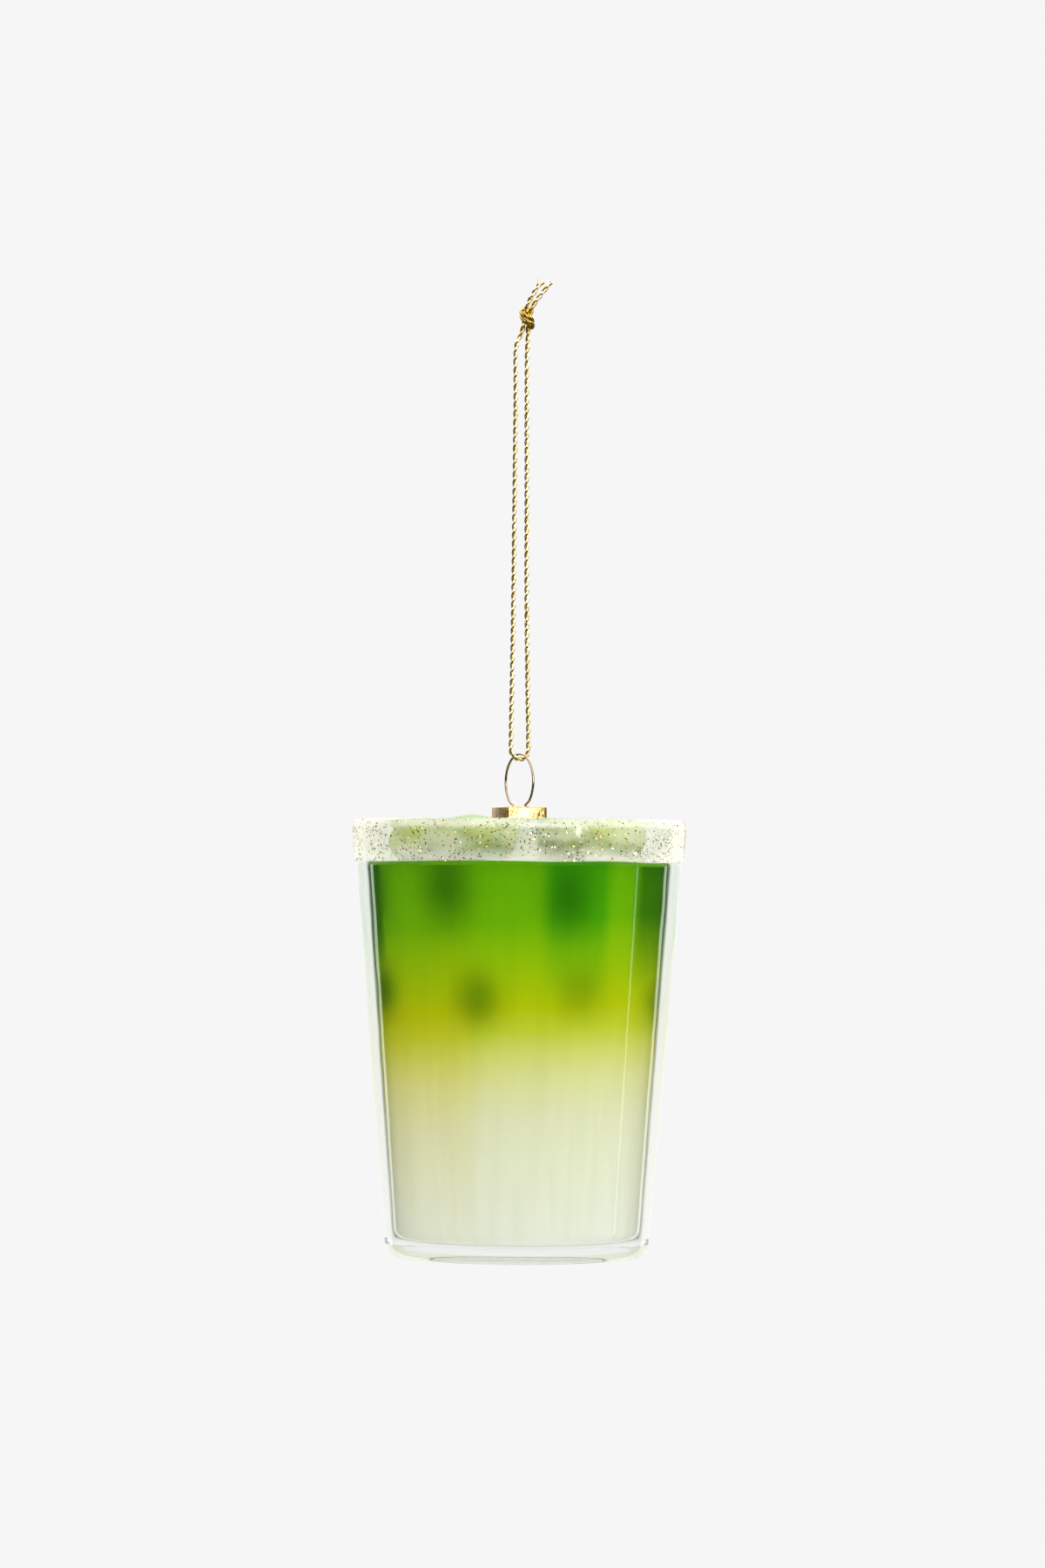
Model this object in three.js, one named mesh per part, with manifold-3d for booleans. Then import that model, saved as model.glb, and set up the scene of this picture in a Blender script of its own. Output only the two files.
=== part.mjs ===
// Iced latte ornament: a clear glass tumbler that holds a lacquered blown-glass drink with ice
// cubes, hung by a square crown cap, a wire ring and a knotted metallic cord.
// Millimetres, +Z up. The origin is the hanging point, inside the cord's loop under the knot.
import * as THREE from 'three'
import { RoundedBoxGeometry } from 'three/addons/geometries/RoundedBoxGeometry.js'
import { mergeVertices } from 'three/addons/utils/BufferGeometryUtils.js'
import Module from 'manifold-3d'

const wasm = await Module()
wasm.setup()

// Clearances
const SEAT_GAP = 0.3 // a piece that rests on another or faces it end to end
const SKIN_GAP = 0.12 // a thin coat and the glass that it covers
const CAP_CLEARANCE = 0.475 // the cap's wall round the neck
const LEG_CLEARANCE = 0.36 // the wire's legs in the neck's bore

// Tumbler
const RIM_DROP = 98 // hanging point down to the rim
const TUMBLER_HEIGHT = 88.2
const RIM_RADIUS = 33.5
const FOOT_RADIUS = 26.3
const FOOT_CORNER = 3
const TUMBLER_WALL = 1.2
const TUMBLER_FLOOR = 2
const LIP_HEIGHT = 2 // the height over which the fire-polished lip rounds off
const LIP_SHARE = 0.65 // how far across the wall the lip's crest stands

// Glitter band on the tumbler
const BAND_THICKNESS = 0.25
const BAND_HEIGHT = 7

// Drink
const LEVEL_DROP = 8.3 // rim down to the drink's surface
const TOP_SIDE_GAP = 1 // drink to tumbler at the drink's surface
const FOOT_SIDE_GAP = 0.4 // drink to tumbler at the drink's foot
const DRINK_HEEL = 3.2
const DRINK_SHOULDER = 1
const LEAST_SHOULDER = 0.3 // inside the vessel, where the wall is as thick as the corner is round
const LACQUER_THICKNESS = 0.25
const VESSEL_WALL = 0.8
const PAD_THICKNESS = 0.5
const PAD_RADIUS = 16

// Neck and cap
const NECK_RADIUS = 3.7
const NECK_WALL = 0.8
const NECK_FILLET = 0.8
const CAP_RISE = 2.75 // rim up to the cap's top
const CAP_HEIGHT = 4.5
const CAP_SHEET = 0.35
const CAP_CORNER = 1.3
const CAP_EDGE = 0.3 // rounding of the cap's top edge
const CAP_EDGE_STEPS = 2
const CAP_TURN = 21.6 // degrees about +Z

// Hanger wire: a ring with two sprung legs
const WIRE_DIAMETER = 0.48
const RING_RADIUS = 5.55 // to the middle of the wire
const RING_TURN = -60 // degrees from +X to the ring's plane
const RING_JOIN = 44 // degrees from the ring's lowest point to where the legs leave it
const LEG_LENGTH = 19 // below the cap's top
const LEG_GRIP_DROP = 3.8 // cap's top down to where the legs leave the bore's wall
const LEG_WAIST_DROP = 11.4 // cap's top down to where the legs come closest
const LEG_WAIST = 1.25 // half the distance between the legs there

// Ice cubes, standing round the neck. Bearing, yaw, lean and roll are in degrees, crest is the
// height of the highest point above the rim.
const ICE_CORNER = 1.9
const ICE_CORNER_STEPS = 2
const ICE_CUBES = [
  { bearing: 193, yaw: 8, lean: 10, roll: -9, side: 13.2, crest: -0.6 },
  { bearing: 243, yaw: -14, lean: -11, roll: 9, side: 13, crest: 1.6 },
  { bearing: 323, yaw: 16, lean: 9, roll: 12, side: 13.4, crest: 0.9 },
  { bearing: 16, yaw: -6, lean: -8, roll: 7, side: 12.6, crest: -0.4 },
  { bearing: 72, yaw: 10, lean: 12, roll: -10, side: 13.4, crest: 1.6 },
  { bearing: 133, yaw: -18, lean: -9, roll: -12, side: 13, crest: 0.7 },
]

// Hanging cord. Route points are [distance along the loop's plane, height].
const CORD_DIAMETER = 1
const LOOP_TURN = 30 // degrees from +X to the loop's plane
const LEFT_LEG = [
  [-0.3, 0], [-1, -1.3], [-1.4, -3.3], [-1.4, -11.7], [-1.5, -30], [-1.66, -55.6],
  [-1.95, -76.6], [-2, -80],
]
const RIGHT_LEG = [
  [1.35, 0], [1.27, -1.3], [1.2, -3.3], [1.18, -11.7], [1.3, -30], [1.48, -55.6],
  [1.9, -76.6], [2, -80],
]
const BIGHT = [
  [-2, -80.3], [-2, -82.1], [-2, -83.7], [-1.85, -84.46], [-1.41, -85.1], [-0.77, -85.54],
  [0, -85.69], [0.77, -85.54], [1.41, -85.1], [1.85, -84.46], [2, -83.7], [2, -82.1], [2, -80.3],
]
const LEFT_TAIL = [[0.9, -0.1, 6], [1.05, -0.15, 7], [2.3, -0.3, 9], [4, -0.4, 11]]
const RIGHT_TAIL = [[2.1, 0.5, 6], [2.5, 0.55, 7], [4.1, 0.7, 9], [6.1, 0.8, 10.6]]

// Knot. Its profile is [radius, height above its underside].
const KNOT_CENTRE = [0.95, 0.3]
const KNOT_BOTTOM = 0.8
const KNOT_PROFILE = [[0, 0], [1.4, 0], [1.65, 0.5], [1.65, 3.4], [1.5, 4.9], [0, 4.9]]

// Fineness of round shapes
const TURNED_SIDES = 48
const KNOT_SIDES = 12
const CORNER_STEPS = 4
const LIP_STEPS = 6
const TUBE_SIDES = 8
const RING_STEP = 16 // degrees between the ring's path points
const WIRE_STEPS = 92
const LEG_STEPS = 26
const BIGHT_STEPS = 20
const TAIL_STEPS = 3
const CUT_MARGIN = 5 // how far a cutting block runs past what it cuts
const MERGE_DISTANCE = 1e-4

// Places worked out from the sizes
const RIM_Z = -RIM_DROP
const FOOT_Z = RIM_Z - TUMBLER_HEIGHT
const FLOOR_Z = FOOT_Z + TUMBLER_FLOOR
const DRINK_TOP_Z = RIM_Z - LEVEL_DROP
const DRINK_FOOT_Z = FLOOR_Z + SEAT_GAP + PAD_THICKNESS + SEAT_GAP
const BORE_RADIUS = NECK_RADIUS - NECK_WALL
const CAP_TOP_Z = RIM_Z + CAP_RISE
const NECK_TOP_Z = CAP_TOP_Z - CAP_SHEET - SEAT_GAP
const CAP_SIDE = 2 * (NECK_RADIUS + CAP_CLEARANCE + CAP_SHEET)
const WIRE_RADIUS = WIRE_DIAMETER / 2
const LEG_OFFSET = BORE_RADIUS - LEG_CLEARANCE - WIRE_RADIUS
const RING_Z = CAP_TOP_Z + Math.sqrt(RING_RADIUS ** 2 - LEG_OFFSET ** 2)
const CORD_RADIUS = CORD_DIAMETER / 2

const radians = THREE.MathUtils.degToRad

// Materials
function finish(color, roughness, metalness, opacity = 1) {
  return new THREE.MeshStandardMaterial({
    color, roughness, metalness, opacity, transparent: opacity < 1,
  })
}

const clearGlass = finish('#eef3ee', 0.05, 0, 0.25)
const glitterFrost = finish('#dfe3cc', 0.45, 0.2, 0.6)
const blownGlass = finish('#e6eee0', 0.08, 0, 0.4)
const greenLacquer = finish('#8fbf2e', 0.18, 0)
const clearCement = finish('#f2f2ea', 0.4, 0, 0.7)
const greenIce = finish('#8fb83a', 0.2, 0, 0.7)
const goldPlate = finish('#d9a441', 0.22, 1)
const roseWire = finish('#c58a5c', 0.25, 1)
const goldTwist = finish('#cf9f3a', 0.4, 0.8)

// Booleans
function toSolid(geometry) {
  const bare = geometry.clone()
  bare.deleteAttribute('normal')
  bare.deleteAttribute('uv')
  const merged = mergeVertices(bare, MERGE_DISTANCE)
  const triangles = []
  for (let i = 0; i < merged.index.count; i += 3) {
    const corners = [0, 1, 2].map((step) => merged.index.getX(i + step))
    if (new Set(corners).size === corners.length) triangles.push(...corners)
  }
  return new wasm.Manifold(new wasm.Mesh({
    numProp: 3,
    vertProperties: new Float32Array(merged.attributes.position.array),
    triVerts: new Uint32Array(triangles),
  }))
}

function toGeometry(solid) {
  const mesh = solid.getMesh()
  const geometry = new THREE.BufferGeometry()
  geometry.setAttribute('position', new THREE.BufferAttribute(mesh.vertProperties, 3))
  geometry.setIndex(new THREE.BufferAttribute(mesh.triVerts, 1))
  geometry.computeVertexNormals()
  return geometry
}

// Turned shapes: [radius, height] points, up the outside and down the inside
function turned(profile, sides = TURNED_SIDES) {
  const points = profile.map(([radius, height]) => new THREE.Vector2(radius, height))
  return new THREE.LatheGeometry(points, sides).rotateX(Math.PI / 2)
}

function arc(centre, radiusX, radiusZ, fromDegrees, toDegrees, steps) {
  const points = []
  for (let i = 0; i <= steps; i++) {
    const angle = radians(THREE.MathUtils.lerp(fromDegrees, toDegrees, i / steps))
    points.push([centre[0] + radiusX * Math.cos(angle), centre[1] + radiusZ * Math.sin(angle)])
  }
  return points
}

// The tumbler's side is straight, and the drink's side is another straight line inside it
function tumblerRadius(z) {
  return THREE.MathUtils.mapLinear(z, FOOT_Z, RIM_Z, FOOT_RADIUS, RIM_RADIUS)
}

function drinkRadius(z) {
  const foot = tumblerRadius(DRINK_FOOT_Z) - TUMBLER_WALL - FOOT_SIDE_GAP
  const top = tumblerRadius(DRINK_TOP_Z) - TUMBLER_WALL - TOP_SIDE_GAP
  return THREE.MathUtils.mapLinear(z, DRINK_FOOT_Z, DRINK_TOP_Z, foot, top)
}

// A rounded corner between a level face at z and a leaning side, with turn +1 for a shoulder
// under a top face and -1 for a heel over an underside
function leaningCorner(radiusAt, z, corner, turn) {
  const lean = Math.atan(radiusAt(z + 1) - radiusAt(z))
  const reach = corner * (1 + turn * Math.sin(lean)) / Math.cos(lean)
  const centre = [radiusAt(z) - reach, z - turn * corner]
  const leanDegrees = THREE.MathUtils.radToDeg(lean)
  const side = -leanDegrees
  const face = 90 * turn
  return turn > 0
    ? arc(centre, corner, corner, side, face, CORNER_STEPS)
    : arc(centre, corner, corner, face, side, CORNER_STEPS)
}

// Tumbler
function glassTumbler() {
  const inside = (z) => tumblerRadius(z) - TUMBLER_WALL
  const lipZ = RIM_Z - LIP_HEIGHT
  const outerWidth = TUMBLER_WALL * LIP_SHARE
  const innerWidth = TUMBLER_WALL - outerWidth
  const crest = [tumblerRadius(lipZ) - outerWidth, lipZ]
  const outerLip = arc(crest, outerWidth, LIP_HEIGHT, 0, 90, LIP_STEPS)
  const innerLip = arc([crest[0], RIM_Z - innerWidth], innerWidth, innerWidth, 90, 180, LIP_STEPS / 2)
  const innerCorner = leaningCorner(inside, FLOOR_Z, FOOT_CORNER, -1)
  return turned([
    [0, FOOT_Z],
    ...leaningCorner(tumblerRadius, FOOT_Z, FOOT_CORNER, -1),
    ...outerLip,
    ...innerLip.slice(1),
    ...innerCorner.reverse(),
    [0, FLOOR_Z],
  ])
}

// Glitter band: a coat on the outside of the tumbler, from the lip down to the drink's level
function rimGlitterBand() {
  const top = RIM_Z - LIP_HEIGHT
  const bottom = top - BAND_HEIGHT
  const inner = (z) => tumblerRadius(z) + SKIN_GAP
  const outer = (z) => inner(z) + BAND_THICKNESS
  return turned([
    [inner(bottom), bottom],
    [outer(bottom + BAND_THICKNESS), bottom + BAND_THICKNESS],
    [outer(top - BAND_THICKNESS), top - BAND_THICKNESS],
    [inner(top), top],
    [inner(bottom), bottom],
  ])
}

// The drink's outline moved inwards by inset, from the axis underneath round to the top face
function drinkOutline(inset) {
  const side = (z) => drinkRadius(z) - inset
  const shoulder = Math.max(DRINK_SHOULDER - inset, LEAST_SHOULDER)
  return [
    [0, DRINK_FOOT_Z + inset],
    ...leaningCorner(side, DRINK_FOOT_Z + inset, DRINK_HEEL - inset, -1),
    ...leaningCorner(side, DRINK_TOP_Z - inset, shoulder, 1),
  ]
}

// Lacquer: the colour coat all over the vessel, open where the neck comes through
function drinkLacquer() {
  const outer = drinkOutline(0)
  const inner = drinkOutline(LACQUER_THICKNESS)
  const opening = NECK_RADIUS + NECK_FILLET + SKIN_GAP
  return turned([
    ...outer,
    [opening, DRINK_TOP_Z],
    [opening, DRINK_TOP_Z - LACQUER_THICKNESS],
    ...inner.reverse(),
  ])
}

// Vessel: the blown-glass drink with its neck
function drinkVessel() {
  const outerInset = LACQUER_THICKNESS + SKIN_GAP
  const innerInset = outerInset + VESSEL_WALL
  const outerTop = DRINK_TOP_Z - outerInset
  const innerTop = DRINK_TOP_Z - innerInset
  const fillet = [NECK_RADIUS + NECK_FILLET, outerTop + NECK_FILLET]
  const neckEdge = [NECK_RADIUS - NECK_WALL / 2, NECK_TOP_Z - NECK_WALL / 2]
  return turned([
    ...drinkOutline(outerInset),
    ...arc(fillet, NECK_FILLET, NECK_FILLET, 270, 180, CORNER_STEPS),
    ...arc(neckEdge, NECK_WALL / 2, NECK_WALL / 2, 0, 180, CORNER_STEPS),
    [BORE_RADIUS, innerTop],
    ...drinkOutline(innerInset).reverse(),
  ])
}

// Cement: a thin disc between the tumbler's floor and the drink
function cementPad() {
  const bottom = FLOOR_Z + SEAT_GAP
  return turned([
    [0, bottom],
    [PAD_RADIUS, bottom],
    [PAD_RADIUS, bottom + PAD_THICKNESS],
    [0, bottom + PAD_THICKNESS],
  ])
}

// Ice: rounded cubes in the space between cap and tumbler, cut flat where they stand
function iceCube({ bearing, yaw, lean, roll, side, crest }) {
  const standZ = DRINK_TOP_Z + SEAT_GAP
  const capReach = CAP_SIDE / Math.SQRT2
  const ringRadius = (capReach + tumblerRadius(DRINK_TOP_Z) - TUMBLER_WALL) / 2
  const cube = new RoundedBoxGeometry(side, side, side, ICE_CORNER_STEPS, ICE_CORNER)
  cube.rotateX(radians(lean)).rotateY(radians(roll)).rotateZ(radians(bearing + yaw))
  cube.computeBoundingBox()
  const x = ringRadius * Math.cos(radians(bearing))
  const y = ringRadius * Math.sin(radians(bearing))
  cube.translate(x, y, RIM_Z + crest - cube.boundingBox.max.z)
  const block = 2 * side
  const below = new THREE.BoxGeometry(block, block, block).translate(x, y, standZ - side)
  return toGeometry(toSolid(cube).subtract(toSolid(below)))
}

// Cap: a stamped square box, open below, with two holes for the wire
function roundedSquare(side, corner) {
  const shape = new THREE.Shape()
  const half = side / 2
  const start = half - corner
  shape.absarc(start, start, corner, 0, Math.PI / 2)
  shape.absarc(-start, start, corner, Math.PI / 2, Math.PI)
  shape.absarc(-start, -start, corner, Math.PI, Math.PI * 1.5)
  shape.absarc(start, -start, corner, Math.PI * 1.5, Math.PI * 2)
  return shape
}

function legHole(offset) {
  const hole = new THREE.CylinderGeometry(
    WIRE_RADIUS + SEAT_GAP, WIRE_RADIUS + SEAT_GAP, 2 * CAP_SHEET + CUT_MARGIN, TUBE_SIDES)
  return hole.rotateX(Math.PI / 2).translate(offset, 0, 0).rotateZ(radians(RING_TURN))
}

function crownCap() {
  const depth = CAP_HEIGHT + CUT_MARGIN
  const outer = new THREE.ExtrudeGeometry(roundedSquare(CAP_SIDE - 2 * CAP_EDGE, CAP_CORNER - CAP_EDGE), {
    depth: depth - CAP_EDGE,
    bevelThickness: CAP_EDGE,
    bevelSize: CAP_EDGE,
    bevelSegments: CAP_EDGE_STEPS,
    curveSegments: CORNER_STEPS,
  }).translate(0, 0, -depth)
  const inner = new THREE.ExtrudeGeometry(
    roundedSquare(CAP_SIDE - 2 * CAP_SHEET, CAP_CORNER - CAP_SHEET),
    { depth: 2 * depth, bevelEnabled: false, curveSegments: CORNER_STEPS },
  ).translate(0, 0, -2 * depth - CAP_SHEET)
  const below = new THREE.BoxGeometry(2 * CAP_SIDE, 2 * CAP_SIDE, 2 * depth)
    .translate(0, 0, -depth - CAP_HEIGHT)
  let cap = toSolid(outer.rotateZ(radians(CAP_TURN)))
  cap = cap.subtract(toSolid(inner.rotateZ(radians(CAP_TURN))))
  cap = cap.subtract(toSolid(below))
  cap = cap.subtract(toSolid(legHole(LEG_OFFSET)))
  cap = cap.subtract(toSolid(legHole(-LEG_OFFSET)))
  return toGeometry(cap.translate([0, 0, CAP_TOP_Z]))
}

// Tubes along a path
function roundSection(radius) {
  const corners = []
  for (let i = 0; i < TUBE_SIDES; i++) {
    const angle = i / TUBE_SIDES * 2 * Math.PI
    corners.push(new THREE.Vector2(radius * Math.cos(angle), radius * Math.sin(angle)))
  }
  return new THREE.Shape(corners)
}

function tube(points, radius, steps) {
  const path = new THREE.CatmullRomCurve3(points)
  return new THREE.ExtrudeGeometry(roundSection(radius), { steps, extrudePath: path })
}

// [distance, height] points in the upright plane that stands at a turn from +X
function inPlane(route, turn) {
  const angle = radians(turn)
  return route.map(([distance, height]) => new THREE.Vector3(
    distance * Math.cos(angle), distance * Math.sin(angle), height))
}

// Hanger wire: up one leg, round the ring and down the other leg
function hangerWire() {
  const leg = [
    [LEG_OFFSET, CAP_TOP_Z - LEG_LENGTH],
    [LEG_WAIST, CAP_TOP_Z - LEG_WAIST_DROP],
    [LEG_OFFSET, CAP_TOP_Z - LEG_GRIP_DROP],
    [LEG_OFFSET, CAP_TOP_Z - CAP_SHEET],
    [LEG_OFFSET + WIRE_RADIUS / 2, CAP_TOP_Z + WIRE_RADIUS],
  ]
  const ring = []
  for (let angle = RING_JOIN; angle <= 360 - RING_JOIN; angle += RING_STEP) {
    const turn = radians(angle)
    ring.push([RING_RADIUS * Math.sin(turn), RING_Z - RING_RADIUS * Math.cos(turn)])
  }
  const otherLeg = leg.map(([offset, height]) => [-offset, height]).reverse()
  return tube(inPlane([...leg, ...ring, ...otherLeg], RING_TURN), WIRE_RADIUS, WIRE_STEPS)
}

// Cord: each leg has a round upper end, on which it swings under the knot
function cordLeg(route) {
  const points = inPlane(route, LOOP_TURN)
  const end = new THREE.SphereGeometry(CORD_RADIUS, TUBE_SIDES, TUBE_SIDES / 2)
  end.translate(points[0].x, points[0].y, points[0].z)
  return toGeometry(toSolid(tube(points, CORD_RADIUS, LEG_STEPS)).add(toSolid(end)))
}

function cordBight() {
  return tube(inPlane(BIGHT, LOOP_TURN), CORD_RADIUS, BIGHT_STEPS)
}

function cordTail(route) {
  return tube(route.map((point) => new THREE.Vector3(...point)), CORD_RADIUS, TAIL_STEPS)
}

function cordKnot() {
  const profile = KNOT_PROFILE.map(([radius, height]) => [radius, KNOT_BOTTOM + height])
  return turned(profile, KNOT_SIDES).translate(...KNOT_CENTRE, 0)
}

// The assembly, in the groups that move together
function mesh(name, geometry, material) {
  const node = new THREE.Mesh(geometry, material.clone())
  node.name = name
  return node
}

function group(...nodes) {
  return new THREE.Group().add(...nodes)
}

const knot = group(
  mesh('cord_knot', cordKnot(), goldTwist),
  mesh('cord_tail_left', cordTail(LEFT_TAIL), goldTwist),
  mesh('cord_tail_right', cordTail(RIGHT_TAIL), goldTwist),
)

const cord = group(
  mesh('cord_leg_left', cordLeg(LEFT_LEG), goldTwist),
  mesh('cord_leg_right', cordLeg(RIGHT_LEG), goldTwist),
  mesh('cord_bight', cordBight(), goldTwist),
)

const hanger = group(
  mesh('hanger_wire', hangerWire(), roseWire),
  mesh('crown_cap', crownCap(), goldPlate),
)

const drink = group(
  mesh('glass_tumbler', glassTumbler(), clearGlass),
  mesh('rim_glitter_band', rimGlitterBand(), glitterFrost),
  mesh('drink_vessel', drinkVessel(), blownGlass),
  mesh('drink_lacquer', drinkLacquer(), greenLacquer),
  mesh('cement_pad', cementPad(), clearCement),
  ...ICE_CUBES.map((cube, i) => mesh(`ice_cube_${i + 1}`, iceCube(cube), greenIce)),
)

export default group(knot, cord, hanger, drink)
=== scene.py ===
"""Dresses the iced latte ornament: a clear glass tumbler with a frosted, glittered rim, a green to
cream lacquered drink with ice cubes, a square cap, a wire ring and a knotted metallic cord."""

import math

import bmesh
import bpy
import numpy as np
from bpy.props import FloatProperty, FloatVectorProperty, IntProperty, PointerProperty
from mathutils import Matrix, Vector, noise


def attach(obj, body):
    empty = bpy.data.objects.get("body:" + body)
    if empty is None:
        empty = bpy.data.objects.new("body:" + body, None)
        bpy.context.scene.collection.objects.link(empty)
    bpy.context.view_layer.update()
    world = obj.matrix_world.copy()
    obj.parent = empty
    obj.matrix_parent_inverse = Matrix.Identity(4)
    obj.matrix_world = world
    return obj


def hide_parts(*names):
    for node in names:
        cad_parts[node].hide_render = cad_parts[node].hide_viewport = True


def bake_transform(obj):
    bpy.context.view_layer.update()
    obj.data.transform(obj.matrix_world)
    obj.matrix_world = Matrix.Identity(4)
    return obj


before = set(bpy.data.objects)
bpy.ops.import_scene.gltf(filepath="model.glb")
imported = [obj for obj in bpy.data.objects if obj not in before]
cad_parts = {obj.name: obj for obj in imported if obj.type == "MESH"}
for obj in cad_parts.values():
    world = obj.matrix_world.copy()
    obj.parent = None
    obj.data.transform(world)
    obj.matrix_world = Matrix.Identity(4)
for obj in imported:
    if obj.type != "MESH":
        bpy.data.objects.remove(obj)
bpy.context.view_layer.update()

bl_info = {
    "name": "Iced Latte Ornament",
    "version": (1, 0, 0),
    "blender": (4, 5, 0),
    "location": "3D View > Sidebar > Ornament",
    "description": "Makes the visible pieces, materials and studio of the iced latte ornament",
    "category": "Object",
}

MM = 0.001

# Sizes that follow the solids, in millimetres, with turns in degrees. The origin is the hanging
# point, +Z up.
SKIN_GAP = 0.12
RIM_Z = -98.0
FOOT_Z = -186.2
RIM_RADIUS = 33.5
FOOT_RADIUS = 26.3
FOOT_CORNER = 3.0
TUMBLER_WALL = 1.2
TUMBLER_LEAN = (RIM_RADIUS - FOOT_RADIUS) / (RIM_Z - FOOT_Z)
FLOOR_Z = FOOT_Z + 2.0
LIP_HEIGHT = 2.0
LIP_SHARE = 0.65
DRINK_TOP_Z = RIM_Z - 8.3
DRINK_FOOT_Z = FLOOR_Z + 1.1
TOP_SIDE_GAP = 1.0
FOOT_SIDE_GAP = 0.4
DRINK_HEEL = 3.2
DRINK_SHOULDER = 1.0
LEAST_SHOULDER = 0.3
LACQUER_THICKNESS = 0.25
VESSEL_WALL = 0.8
NECK_RADIUS = 3.7
NECK_WALL = 0.8
NECK_FILLET = 0.8
CAP_TOP_Z = RIM_Z + 2.75
CAP_HEIGHT = 4.5
CAP_SHEET = 0.35
CAP_CORNER = 0.8
CAP_SIDE = 9.05
CAP_BOW = 0.12
CAP_TURN = 21.6
NECK_TOP_Z = CAP_TOP_Z - 0.65
WIRE_RADIUS = 0.24
RING_RADIUS = 5.55
RING_TURN = -60.0
RING_JOIN = 44
LEG_OFFSET = 2.3
LOOP_TURN = 30.0
PAD_RADIUS = 16.0
PAD_BOTTOM_Z = FLOOR_Z + 0.3
PAD_TOP_Z = PAD_BOTTOM_Z + 0.5

# How finely the pieces are cut: sides round the axis, steps in millimetres along a profile or a
# route, and the ring's steps in degrees
TUMBLER_SIDES = 180
TUMBLER_STEP = 2.5
BAND_SIDES = 240
BAND_STEP = 0.5
FLAKE_CARRIER_STEP = 0.6
VESSEL_SIDES = 120
VESSEL_STEP = 4.0
LACQUER_SIDES = 220
LACQUER_STEP = 0.9
PAD_SIDES = 96
PAD_STEP = 1.2
CORD_STEP = 0.13
CORD_SIDES = 10
WIRE_STEP = 0.3
WIRE_SIDES = 20
RING_STEP = 16
FLOOR_SIDES = 96
FLOOR_RINGS = 12

# The cord's plies, as shares of its diameter
PLY_RADIUS_SHARE = 0.27
PLY_OFFSET_SHARE = 0.23
FRAY_SPREAD_SHARE = 0.35

# The cord's route. Leg and bight points are [distance along the loop's plane, height].
LEFT_LEG = [
    (-0.3, 0), (-1, -1.3), (-1.4, -3.3), (-1.4, -11.7), (-1.5, -30), (-1.66, -55.6),
    (-1.95, -76.6), (-2, -80),
]
RIGHT_LEG = [
    (1.35, 0), (1.27, -1.3), (1.2, -3.3), (1.18, -11.7), (1.3, -30), (1.48, -55.6),
    (1.9, -76.6), (2, -80),
]
BIGHT = [
    (-2, -82.1), (-2, -83.7), (-1.85, -84.46), (-1.41, -85.1), (-0.77, -85.54),
    (0, -85.69), (0.77, -85.54), (1.41, -85.1), (1.85, -84.46), (2, -83.7), (2, -82.1),
]
LEFT_TAIL = [(1.1, -0.1, 6), (1.5, -0.15, 7), (2.65, -0.3, 9), (3.85, -0.4, 10.85)]
RIGHT_TAIL = [(2.25, 0.5, 6), (2.85, 0.55, 7), (4.35, 0.7, 9), (5.8, 0.8, 10.8)]

# The knot: both legs rise through its middle, go once round and leave through its middle
KNOT_CENTRE = (0.95, 0.3)
KNOT_WRAP_RADIUS = 1.15
KNOT_WRAP = (95, 385)
KNOT_WRAP_Z = (5.1, 2.0)
KNOT_WRAP_STEPS = 7
KNOT_STRAND_SHIFTS = (0.48, -0.48)
KNOT_RISE = (
    [(0.15, -0.1, 1.3), (0.4, 0.15, 2.6), (0.5, 0.6, 3.9)],
    [(1.15, 0.6, 1.4), (1.05, 0.6, 2.8), (0.95, 0.7, 4.0)],
)
KNOT_EXIT = (
    [(1.15, -0.05, 2.9), (1.0, -0.1, 4.4)],
    [(1.5, 0.35, 2.6), (1.7, 0.4, 4.4)],
)
# Heights between which the knot's painted shade, a deeper gold that stands in for the gold
# reflecting itself in the tight knot, comes in at its foot and goes out over its top
KNOT_SHADE_FOOT = (-1.0, 0.5)
KNOT_SHADE_TOP = (7.5, 5.0)

# The wire's leg, as [offset, height over the cap's top], from its lower end up to the ring
WIRE_LEG = [
    (LEG_OFFSET, -19), (1.25, -11.4), (LEG_OFFSET, -3.8), (LEG_OFFSET, -0.35),
    (LEG_OFFSET + WIRE_RADIUS / 2, WIRE_RADIUS),
]

# The cap's finer shape
CAP_SIDE_SHARES = (1.0, 0.8, 0.6, 0.4, 0.2)
CAP_TOP_ROUND = 0.3
CAP_INNER_BEVEL = 0.25
CAP_LEAST_CORNER = 0.4
CAP_HOLE_RADIUS = 0.45
CAP_HOLE_SIDES = 24
CAP_SHARP_ANGLE = 40

# The frosted band, and how its lower edge wanders
BAND_THICKNESS = 0.12
BAND_TOP_Z = RIM_Z - 0.08
BAND_FOOT_Z = DRINK_TOP_Z - 0.2
EDGE_WANDER = 0.2
EDGE_REACH = 3.0
EDGE_WAVES = 2.2
FLAKE_TILT = 28

# The cement's wandering edge, as shares of its radius
PAD_WANDER = 0.06
PAD_SHRINK = 0.6
PAD_WAVES = 1.7

# The melted ice: its sizes in millimetres, its rounds of smoothing and its shares
ICE_VOXEL = 0.4
ICE_SMOOTHING = 24
ICE_STAND = 4.0
ICE_WANDER_SIZE = 4.5
ICE_WANDER_SHIFT = 3.1
ICE_SWELL = 0.7
ICE_SWELL_BASE = 0.3
ICE_CREST_Z = RIM_Z - 0.2
ICE_CREST_MELT = 0.5
ICE_CREST_TONE = (RIM_Z - 1.2, RIM_Z)
ICE_PINCH = 0.25

# Camera: place in mm, pitch and roll in degrees, focal length on a 36 mm long side
CAMERA_PLACE = (0.62, -1288.0, -118.1)
CAMERA_PITCH = 1.22
CAMERA_ROLL = 0.35
CAMERA_LENS = 146.8

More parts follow.
